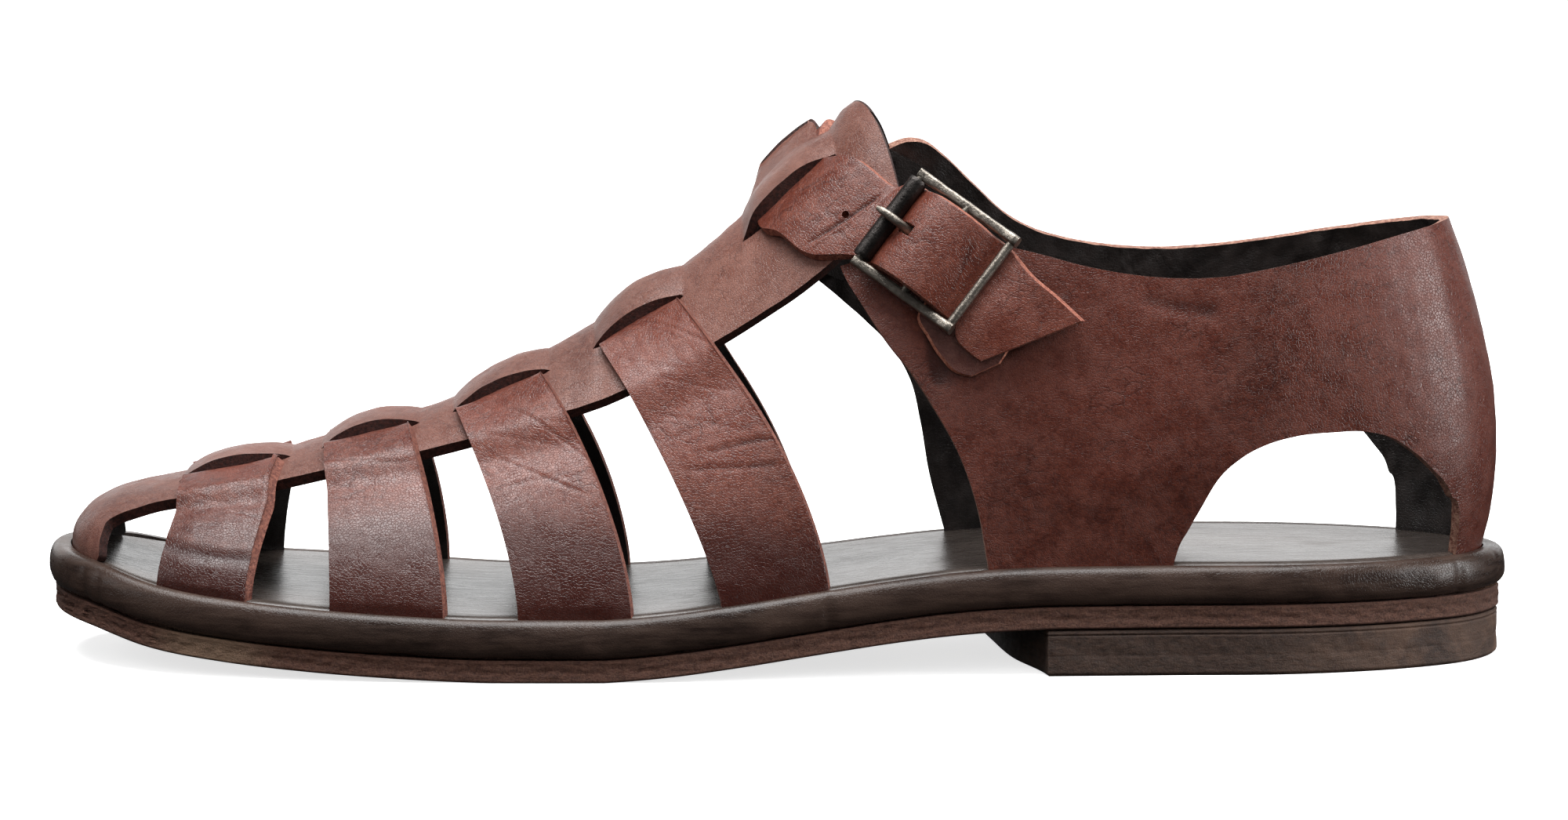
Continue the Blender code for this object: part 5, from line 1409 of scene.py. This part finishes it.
def cut_away(piece, cutter):
    """Take a cutter's volume out of a piece, before the piece's bevel, and delete the cutter."""
    cut = piece.modifiers.new("slot", "BOOLEAN")
    cut.operation, cut.object, cut.solver = "DIFFERENCE", cutter, "EXACT"
    with bpy.context.temp_override(object=piece, active_object=piece, selected_objects=[piece]):
        bpy.ops.object.modifier_move_to_index(modifier="slot", index=0)
        bpy.ops.object.modifier_apply(modifier="slot")
    bpy.data.objects.remove(cutter)


def punch(piece, at, out, radius, reach):
    """Cut a round hole through a sheet at a point of its surface, along the direction out."""
    out = Vector(out).normalized()
    side = out.orthogonal()
    other = out.cross(side)
    turn = np.linspace(0, 2 * np.pi, PUNCH_SIDES, endpoint=False)
    ring = np.array([radius * (np.cos(w) * side + np.sin(w) * other) for w in turn])
    middles = [np.array(at) + np.array(out) * k for k in (-reach, reach)]
    points = np.concatenate([middles[0] + ring, middles[1] + ring, middles])
    low = np.arange(PUNCH_SIDES)
    after = np.roll(low, -1)
    top, above = low + PUNCH_SIDES, after + PUNCH_SIDES
    floor = np.full(PUNCH_SIDES, 2 * PUNCH_SIDES)
    wall = np.stack([low, after, above, top], -1)
    lids = [np.stack([floor, after, low, low], -1), np.stack([floor + 1, top, above, above], -1)]
    cutter = new_mesh("cutter", points, np.concatenate([wall, *lids]))
    outward_faces(cutter)
    cut_away(piece, cutter)


def make_ankle_strap():
    """One ribbon from the inner quarter through the loop, over the buckle and on to the tail's point."""
    front, rear = on_last(ANKLE)
    pushed = np.array(ANKLE)[:, 6:]
    front[:, 2] += pushed[:, 0]
    rear[:, 2] += pushed[:, 1]
    wave = np.array(STRAP_WAVE)
    a = wave[:, 0] * BUCKLE_LENGTH + wave[:, 1]
    tail_front, tail_rear = on_last(TAIL)
    front = np.concatenate([front, in_buckle(a, -ANKLE_WIDTH / 2, wave[:, 2]), tail_front])
    rear = np.concatenate([rear, in_buckle(a, ANKLE_WIDTH / 2, wave[:, 2]), tail_rear])
    strap = ribbon("ankle_strap", front, rear, LEATHER, ANKLE_GRID, ANKLE_FOLDS, 60, 0.0003)
    points, out, along, off = ribbon_lines(front, rear, *ANKLE_GRID)
    spot = np.argmin(np.square(along - HOLE_AT[0]) + np.square(off - HOLE_AT[1]))
    row, column = np.unravel_index(spot, along.shape)
    punch(strap, points[row, column] + out[row, 0] * LEATHER, out[row, 0], HOLE_RADIUS, HOLE_REACH)
    slot = [q * BUCKLE_LENGTH for q in PRONG_SLOT]
    cut_slot(strap, slot, (-PRONG / 2 - GAP, PRONG / 2 + GAP), (-0.004, 0.0045))
    return strap


dress(make_ankle_strap(), ankle_leather, "upper", "upper")


# %% [markdown]
# The rand is a strip of leather wrapped over a cord and stitched down between upper and sole. Its section is
# a rounded bead carried round the outline. The strip was pulled tight round the toe and heel, so it has a few
# upright wrinkles and a soft waviness along its top.

# %% Rand
# The bead's section from its lower inner corner round to its upper one: share of RAND_WIDTH inwards, share
# of RAND up
RAND_SHAPE = ((1.00, 0.02), (0.62, 0.00), (0.30, 0.02), (0.07, 0.16), (0.00, 0.36), (0.03, 0.62),
              (0.16, 0.85), (0.38, 0.97), (0.62, 1.00), (1.00, 0.96))
RAND_STEPS = 23
# Distance round the rim as a share, depth and width of each upright wrinkle
RAND_WRINKLES = ((0.045, 0.0005, 0.0012), (0.052, 0.0003, 0.0009), (0.275, 0.0004, 0.0012),
                 (0.468, 0.0005, 0.0014), (0.490, 0.0003, 0.0010), (0.522, 0.0003, 0.0012),
                 (0.985, 0.0003, 0.0012))
# How far the bead's face falls back everywhere, and how tall its soft and its fine waves are
RAND_BACK, RAND_SOFT, RAND_FINE = 0.00015, 0.00022, 0.00008
# How far the top of the rand stays under the footbed, and how far its lower edge lifts off the outsole
RAND_TOP_GAP, RAND_LOW_LIFT = 0.00012, 0.0003


def make_rand():
    """The bead's section, carried round the outline; the waves and wrinkles are strongest on its face."""
    count = len(RIM)
    shape = smooth_table([(i, *row) for i, row in enumerate(RAND_SHAPE)])
    steps = np.linspace(0, len(RAND_SHAPE) - 1, RAND_STEPS)
    base = sole_bottom(RIM[:, 0]) + OUTSOLE + GAP
    walk = walked(RIM)
    where = walk / walk[-1]
    dent = sum(depth * bump((where - at) * walk[-1] / width) for at, depth, width in RAND_WRINKLES)
    rows = []
    for step in steps:
        inward, up = float(shape(step, 0)), float(shape(step, 1))
        face = np.sin(np.pi * np.clip(step / 7.0, 0, 1))
        soft = lumps(np.column_stack([RIM, np.full(count, up * 0.01)]), 0.020, 70)
        fine = lumps(np.column_stack([RIM, np.full(count, up * 0.02)]), 0.006, 71)
        wave = RAND_SOFT * soft + RAND_FINE * fine
        inset = inward * RAND_WIDTH + face * (np.maximum(dent, 0.0) - np.minimum(wave, 0.0) + RAND_BACK)
        c = RIM - RIM_NORMAL * inset[:, None]
        low_side = RAND_LOW_LIFT * np.clip(1 - up * 4, 0, 1) * lumps(RIM, 0.03, 72)
        height = base + up * (RAND - GAP) - RAND_TOP_GAP * up + np.maximum(low_side, 0.0)
        rows.append(np.column_stack([c, height]))
    n = len(steps)
    index = np.arange(n * count).reshape(n, count)
    closed = np.concatenate([index, index[:, :1]], 1)
    closed = np.concatenate([closed, closed[:1]], 0)
    uv = np.stack(np.broadcast_arrays(walk[None, :], steps[:, None] * 0.0012), -1)
    piece = new_mesh("rand", np.concatenate(rows), grid_quads(closed), uv.reshape(-1, 2))
    outward_faces(piece)
    shade(piece, 70)
    return piece


dress(make_rand(), rand_leather, "rand", "rand")


# %% [markdown]
# The outsole is one cut of thick sole leather. Its edge was trimmed with a knife and never dressed, so the
# fibres stand out in uneven horizontal layers, and small chips are gone at the toe. The insole is hollowed a
# little and its edge is soft.

# %% Sole pieces from the outline
# Share of LENGTH with chips in the edge, their size in metres and their depth as a multiple of the lumps'
CHIPPED, CHIP_SIZE, CHIP_DEPTH = 0.12, 0.0022, 2.2
# Lines of the cover between the two edges, and how uneven it is
COVER_LINES, COVER_WAVE = 15, 0.00012


def ragged(outline, up, size, seed, fine, layers):
    """How far a rough edge falls back at a height: lumps, chips at the toe, and uneven layers along it."""
    place = np.column_stack([outline, np.full(len(outline), up * 0.010)])
    small = lumps(place, size, seed, 4)
    stripe = np.sin(up * 17 + 1.5 * lumps(outline, 0.030, seed + 1) + 0.6 * lumps(outline, 0.008, seed + 2))
    toe = np.clip(1.0 - share(outline[:, 0]) / CHIPPED, 0.0, 1.0)
    chips = ease(lumps(place, CHIP_SIZE, seed + 3) * 1.6 - 0.4) * toe * CHIP_DEPTH
    return fine * (0.5 + 0.5 * small + chips) + layers * (0.5 + 0.5 * stripe)


def slab(name, profile, bottom, top, crown=0.0, stations=640, seed=80, fine=0.0, layers=0.0, kinds=False):
    """A sole piece: cross sections along the shoe, each an edge profile at both sides and a cover between."""
    share_along = 0.5 - 0.5 * np.cos(np.linspace(0.0, np.pi, stations))
    sides = ([], [])
    for inset, up in profile:
        back = inset + ragged(RIM, up, 0.004, seed, fine, layers) * np.sin(np.pi * np.clip(up, 0, 1))
        for run, rows in zip(two_runs(RIM - RIM_NORMAL * back[:, None], RIM), sides):
            walk = walked(run)
            at = share_along * walk[-1]
            line = np.column_stack([np.interp(at, walk, run[:, 0]), np.interp(at, walk, run[:, 1])])
            low, high = bottom(line[:, 0]), top(line[:, 0])
            rows.append(np.column_stack([line, low + (high - low) * up]))
    outer, inner = sides
    for rows in zip(outer, inner):
        for end in (0, -1):
            rows[0][end] = rows[1][end] = (rows[0][end] + rows[1][end]) / 2

    def cover(a, b, height, swell):
        rows = []
        for q in np.linspace(0.0, 1.0, COVER_LINES + 2)[1:-1]:
            c = a + (b - a) * q
            wave = COVER_WAVE * lumps(c[:, :2], 0.020, seed + 5) * min(q, 1 - q) * 4
            rise = swell * np.sin(np.pi * q) ** 0.7 + wave
            rows.append(np.column_stack([c[:, :2], height(c[:, 0]) + rise]))
        return rows

    upper, under = cover(outer[-1], inner[-1], top, crown), cover(inner[0], outer[0], bottom, 0.0)
    rows = outer + upper + inner[::-1] + under
    index = np.arange(len(rows) * stations).reshape(len(rows), stations)
    closed = np.concatenate([index, index[:1]], 0)
    points = np.concatenate(rows)
    quads = grid_quads(closed)
    kind = np.full(len(quads), GRAIN)
    if kinds:
        edge = [CUT] * len(outer) + [GRAIN] * len(upper) + [CUT] * len(inner) + [GRAIN] * len(under)
        kind = np.repeat(edge, stations - 1)
    piece = new_mesh(name, points, quads, points[:, :2], kind)
    outward_faces(piece)
    shade(piece, 50)
    return piece


def outsole_top(x):
    return sole_bottom(x) + OUTSOLE


def insole_bottom(x):
    return sole_bottom(x) + OUTSOLE + GAP


# Edges from the bottom up: metres in from the rim, share of the piece's height
OUTSOLE_EDGE = [(SOLE_STEP + 0.0008, 0.0), (SOLE_STEP + 0.0003, 0.05)]
OUTSOLE_EDGE += [(SOLE_STEP + 0.0001, up) for up in np.linspace(0.1, 0.9, 17)] + [(SOLE_STEP + 0.0005, 1.0)]
INSOLE_EDGE = [(0.0050, 0.0), (0.0049, 0.4), (0.0048, 0.7), (0.0050, 0.86), (0.0056, 0.95), (0.0066, 1.0)]
dress(slab("outsole", OUTSOLE_EDGE, sole_bottom, outsole_top, fine=0.00045, layers=0.00010, kinds=True),
      sole_leather, "outsole", "outsole")
dress(slab("insole", INSOLE_EDGE, insole_bottom, seat, crown=-0.0006, seed=90),
      insole_leather, "insole", "insole")


# %% [markdown]
# The heel is a stack of leather lifts, trimmed together, so thin lines run round it, and it has been scuffed
# to bare tan fibre at the back. Its front, the breast, is cut across in a shallow curve.

# %% Heel block
# Share of BALL across, share of LENGTH of the breast
BREAST = ((-0.45, 0.684), (-0.34, 0.678), (-0.14, 0.660), (0.11, 0.648), (0.40, 0.637))
HEEL_STEP = 0.0016
# Height of the line between two lifts as a share of the block's height, and its depth
LIFT_LINES = ((0.90, 0.00022), (0.45, 0.00006))


def make_heel():
    """The part of the inset outline behind the breast, closed by the breast's curve and stacked up."""
    breast = smooth_table(BREAST)
    c = RIM - RIM_NORMAL * HEEL_STEP
    back = c[share(c[:, 0]) > breast(c[:, 1] / BALL)]
    order = np.argsort(np.arctan2(back[:, 1], back[:, 0] - back[:, 0].min() - 0.03))
    edge = back[order]
    across = np.linspace(edge[-1, 1], edge[0, 1], 140)[1:-1]
    front = np.column_stack([(breast(across / BALL) - 0.5) * LENGTH, across])
    outline = np.concatenate([edge, front])
    normal = outward(outline)
    rows = []
    for up in np.linspace(0.0, 1.0, 40):
        line = sum(depth * bump((up - at) / 0.018) for at, depth in LIFT_LINES)
        turned = 0.0006 * np.clip(1 - up / 0.06, 0, 1) + 0.0003 * np.clip(1 - (1 - up) / 0.05, 0, 1)
        back_off = ragged(outline, up, 0.005, 101, 0.00025, 0.00004) * np.sin(np.pi * up) + line + turned
        p = outline - normal * back_off[:, None]
        rows.append(np.column_stack([p, (sole_bottom(outline[:, 0]) - GAP) * up]))
    n, count = len(rows), len(outline)
    index = np.arange(n * count).reshape(n, count)
    closed = np.concatenate([index, index[:, :1]], 1)
    points = np.concatenate(rows)
    piece = new_mesh("heel_block", points, grid_quads(closed), points[:, :2])
    form = bmesh.new()
    form.from_mesh(piece.data)
    form.verts.ensure_lookup_table()
    for row in (0, n - 1):
        form.faces.new([form.verts[i] for i in index[row]])
    form.to_mesh(piece.data)
    form.free()
    outward_faces(piece)
    shade(piece, 50)
    return piece


dress(make_heel(), heel_leather, "heel_block", "heel_block")


# %% [markdown]
# The buckle is cast and aged: side bars with a hammered look, thick lugs that hold a round keeper bar, a dark
# roller on the front bar and a curved prong. The bars are rods whose radius varies a little along them.

# %% Buckle parts
ROD_STEP = 0.00018


def rod_rows(path, radii, sides, square, seed, dents):
    """Rings along a path; the section is a superellipse, round at 2 and squarer above."""
    path = np.array(path, float)
    walk = walked(path)
    radii = np.array(radii, float).reshape(len(path), -1)
    if radii.shape[1] == 1:
        radii = np.repeat(radii, 2, 1)
    read = smooth_table(np.column_stack([walk, path]))
    count = max(24, int(walk[-1] / ROD_STEP))
    at = np.linspace(0.0, walk[-1], count)
    p = np.stack([read(at, k) for k in range(3)], -1)
    r = np.stack([np.interp(at, walk, radii[:, k]) for k in range(2)], -1)
    along = unit(np.gradient(p, axis=0))
    u = unit(np.cross(along, np.array([0.0, 0.0, 1.0])))
    w = np.cross(u, along)
    turn = np.linspace(0.0, 2 * np.pi, sides, endpoint=False)
    c, s = np.cos(turn), np.sin(turn)
    c, s = np.sign(c) * np.abs(c) ** (2 / square), np.sign(s) * np.abs(s) ** (2 / square)
    ring = (p[:, None] + r[:, 0][:, None, None] * u[:, None] * c[None, :, None]
            + r[:, 1][:, None, None] * w[:, None] * s[None, :, None])
    return ring + (ring - p[:, None]) * (dents * lumps(ring, 0.0035, seed))[..., None]


def rod_mesh(ring):
    """Points and quads of a closed rod; both ends are drawn in over a few rings."""
    first, last = ring[:1].mean(1, keepdims=True), ring[-1:].mean(1, keepdims=True)
    start = [first + (ring[:1] - first) * q for q in (0.0, 0.55, 0.85)]
    end = [last + (ring[-1:] - last) * q for q in (0.85, 0.55, 0.0)]
    ring = np.concatenate([*start, ring, *end])
    rows, sides = ring.shape[:2]
    index = np.arange(rows * sides).reshape(rows, sides)
    index = np.concatenate([index, index[:, :1]], 1)
    flat = ring.reshape(-1, 3)
    return in_buckle(flat[:, 0], flat[:, 1], flat[:, 2]), grid_quads(index)


def metal_piece(name, rods):
    """One piece from several rods."""
    points, quads, start = [], [], 0
    for ring in rods:
        p, q = rod_mesh(ring)
        points.append(p)
        quads.append(q + start)
        start += len(p)
    piece = new_mesh(name, np.concatenate(points), np.concatenate(quads))
    outward_faces(piece)
    shade(piece, 48)
    return piece


def make_frame():
    """Two squarish side bars that swell into lugs, and round front, centre and keeper bars between them."""
    half = BUCKLE_CLEAR / 2
    near, far = -BUCKLE_LENGTH / 2, BUCKLE_LENGTH / 2
    wide, tall = SIDE_BAR / 2, SIDE_BAR_TALL / 2
    rods = []
    for side in (-1, 1):
        b = side * (half + wide)
        path = [(near - 0.0009, b, 0.0), (near + 0.0015, b, 0.0), (near + 0.006, b, 0.0), (0.0, b, 0.0),
                (far - 0.006, b, 0.0), (far - 0.0022, b, 0.0), (far, b, 0.0), (far + 0.0010, b, 0.0)]
        radii = [(1.05 * wide, 1.20 * tall), (1.10 * wide, 1.20 * tall), (wide, tall), (1.05 * wide, tall),
                 (wide, tall), (1.05 * wide, 1.1 * tall), (1.15 * wide, LUG), (1.1 * wide, 0.9 * LUG)]
        rods.append(rod_rows(path, radii, 32, 3.4, 111 + side, 0.05))
    reach = half + wide
    for a in (near, 0.0, far):
        path = [(a, b, 0.0) for b in (-reach, 0.0, reach)]
        rods.append(rod_rows(path, [BAR / 2] * 3, 28, 2.0, 114, 0.02))
    return metal_piece("buckle_frame", rods)


def make_roller():
    """A tube on the front bar, a little waisted, with rounded ends."""
    half = BUCKLE_CLEAR / 2 - GAP
    a = -BUCKLE_LENGTH / 2
    path = [(a, b, 0.0) for b in (-half, -half + 0.0006, 0.0, half - 0.0006, half)]
    radii = [0.90 * ROLLER / 2, ROLLER / 2, 0.985 * ROLLER / 2, ROLLER / 2, 0.90 * ROLLER / 2]
    return metal_piece("buckle_roller", [rod_rows(path, radii, 48, 2.0, 116, 0.006)])


def make_prong():
    """A shank that rises from the centre bar and rests on the roller, and its ring round the centre bar."""
    ring_in, ring_out = BAR / 2 + GAP / 2, BAR / 2 + GAP + CHAPE_LEATHER
    half = PRONG / 2
    rest = ROLLER / 2 + GAP + half
    front = -BUCKLE_LENGTH / 2
    path = [(-ring_in - half * 0.4, 0.0, 0.0), (0.26 * front, 0.0, 0.0), (0.50 * front, 0.0, 0.0005),
            (0.66 * front, 0.0, 0.0016), (0.82 * front, 0.0, rest - 0.0003), (front, 0.0, rest),
            (1.14 * front, 0.0, rest - 0.0001), (1.24 * front, 0.0, rest - 0.0003)]
    radii = (half, half, half, half, 0.98 * half, 0.96 * half, 0.86 * half, 0.45 * half)
    shank = rod_rows(path, radii, 24, 2.3, 117, 0.03)
    turn = np.linspace(0, 2 * np.pi, 49)
    middle = (ring_in + ring_out) / 2
    tube = (ring_out - ring_in) / 2
    ring = []
    for angle in turn:
        centre = np.array([middle * np.cos(angle), 0.0, middle * np.sin(angle)])
        away = np.array([np.cos(angle), 0.0, np.sin(angle)])
        q = np.linspace(0, 2 * np.pi, 20, endpoint=False)
        ring.append(centre + np.outer(np.cos(q), away) * tube + np.outer(np.sin(q), (0.0, 1.0, 0.0)) * half)
    return metal_piece("buckle_prong", [shank, np.array(ring)])


dress(make_frame(), buckle_metal, "buckle_frame", "buckle_frame")
dress(make_roller(), roller_metal, "buckle_roller", "buckle_roller")
dress(make_prong(), buckle_metal, "buckle_prong", "buckle_prong")


# %% [markdown]
# The chape is the thin tab that ties the buckle to the shoe. It goes round the centre bar and is fixed flat
# on the quarter. Its cut edge is raw and reddish.

# %% Chape
# Side, front edge (share of LENGTH, share of the way up), rear edge (the same), lift over the last
CHAPE = (
    (-1, 0.6300, 0.268, 0.650, 0.272, LEATHER + 2 * GAP),
    (-1, 0.6215, 0.278, 0.657, 0.288, LEATHER + 2 * GAP),
    (-1, 0.6100, 0.308, 0.659, 0.325, LEATHER + 2 * GAP),
    (-1, 0.6010, 0.345, 0.654, 0.375, LEATHER + 2 * GAP),
    (-1, 0.5945, 0.380, 0.646, 0.420, LEATHER + 2 * GAP),
)


def make_chape():
    """A thin ribbon up the quarter and round the centre bar, slotted for the prong."""
    front, rear = on_last(CHAPE)
    r = BAR / 2 + GAP / 2 + CHAPE_LEATHER
    turn = np.radians((-90, -135, -180, -225, -270))
    a = np.concatenate([[0.0032], r * np.cos(turn), [0.0010]])
    c = np.concatenate([[-r - 0.0004], r * np.sin(turn), [r]])
    front = np.concatenate([front, in_buckle(a, -CHAPE_WIDTH / 2, c)])[::-1]
    rear = np.concatenate([rear, in_buckle(a, CHAPE_WIDTH / 2, c)])[::-1]
    chape = ribbon("buckle_chape", front, rear, CHAPE_LEATHER, (150, 30), (), 120, small=0.00006,
                   slant=0.0014)
    reach = PRONG / 2 + GAP
    cut_slot(chape, (-0.005, BAR / 2 + CHAPE_LEATHER + 2 * GAP), (-reach, reach), (-0.0026, 0.0035))
    return chape


dress(make_chape(), chape_leather, "buckle_chape", "buckle_chape")

# %% Update the view layer and finish
bpy.context.view_layer.update()
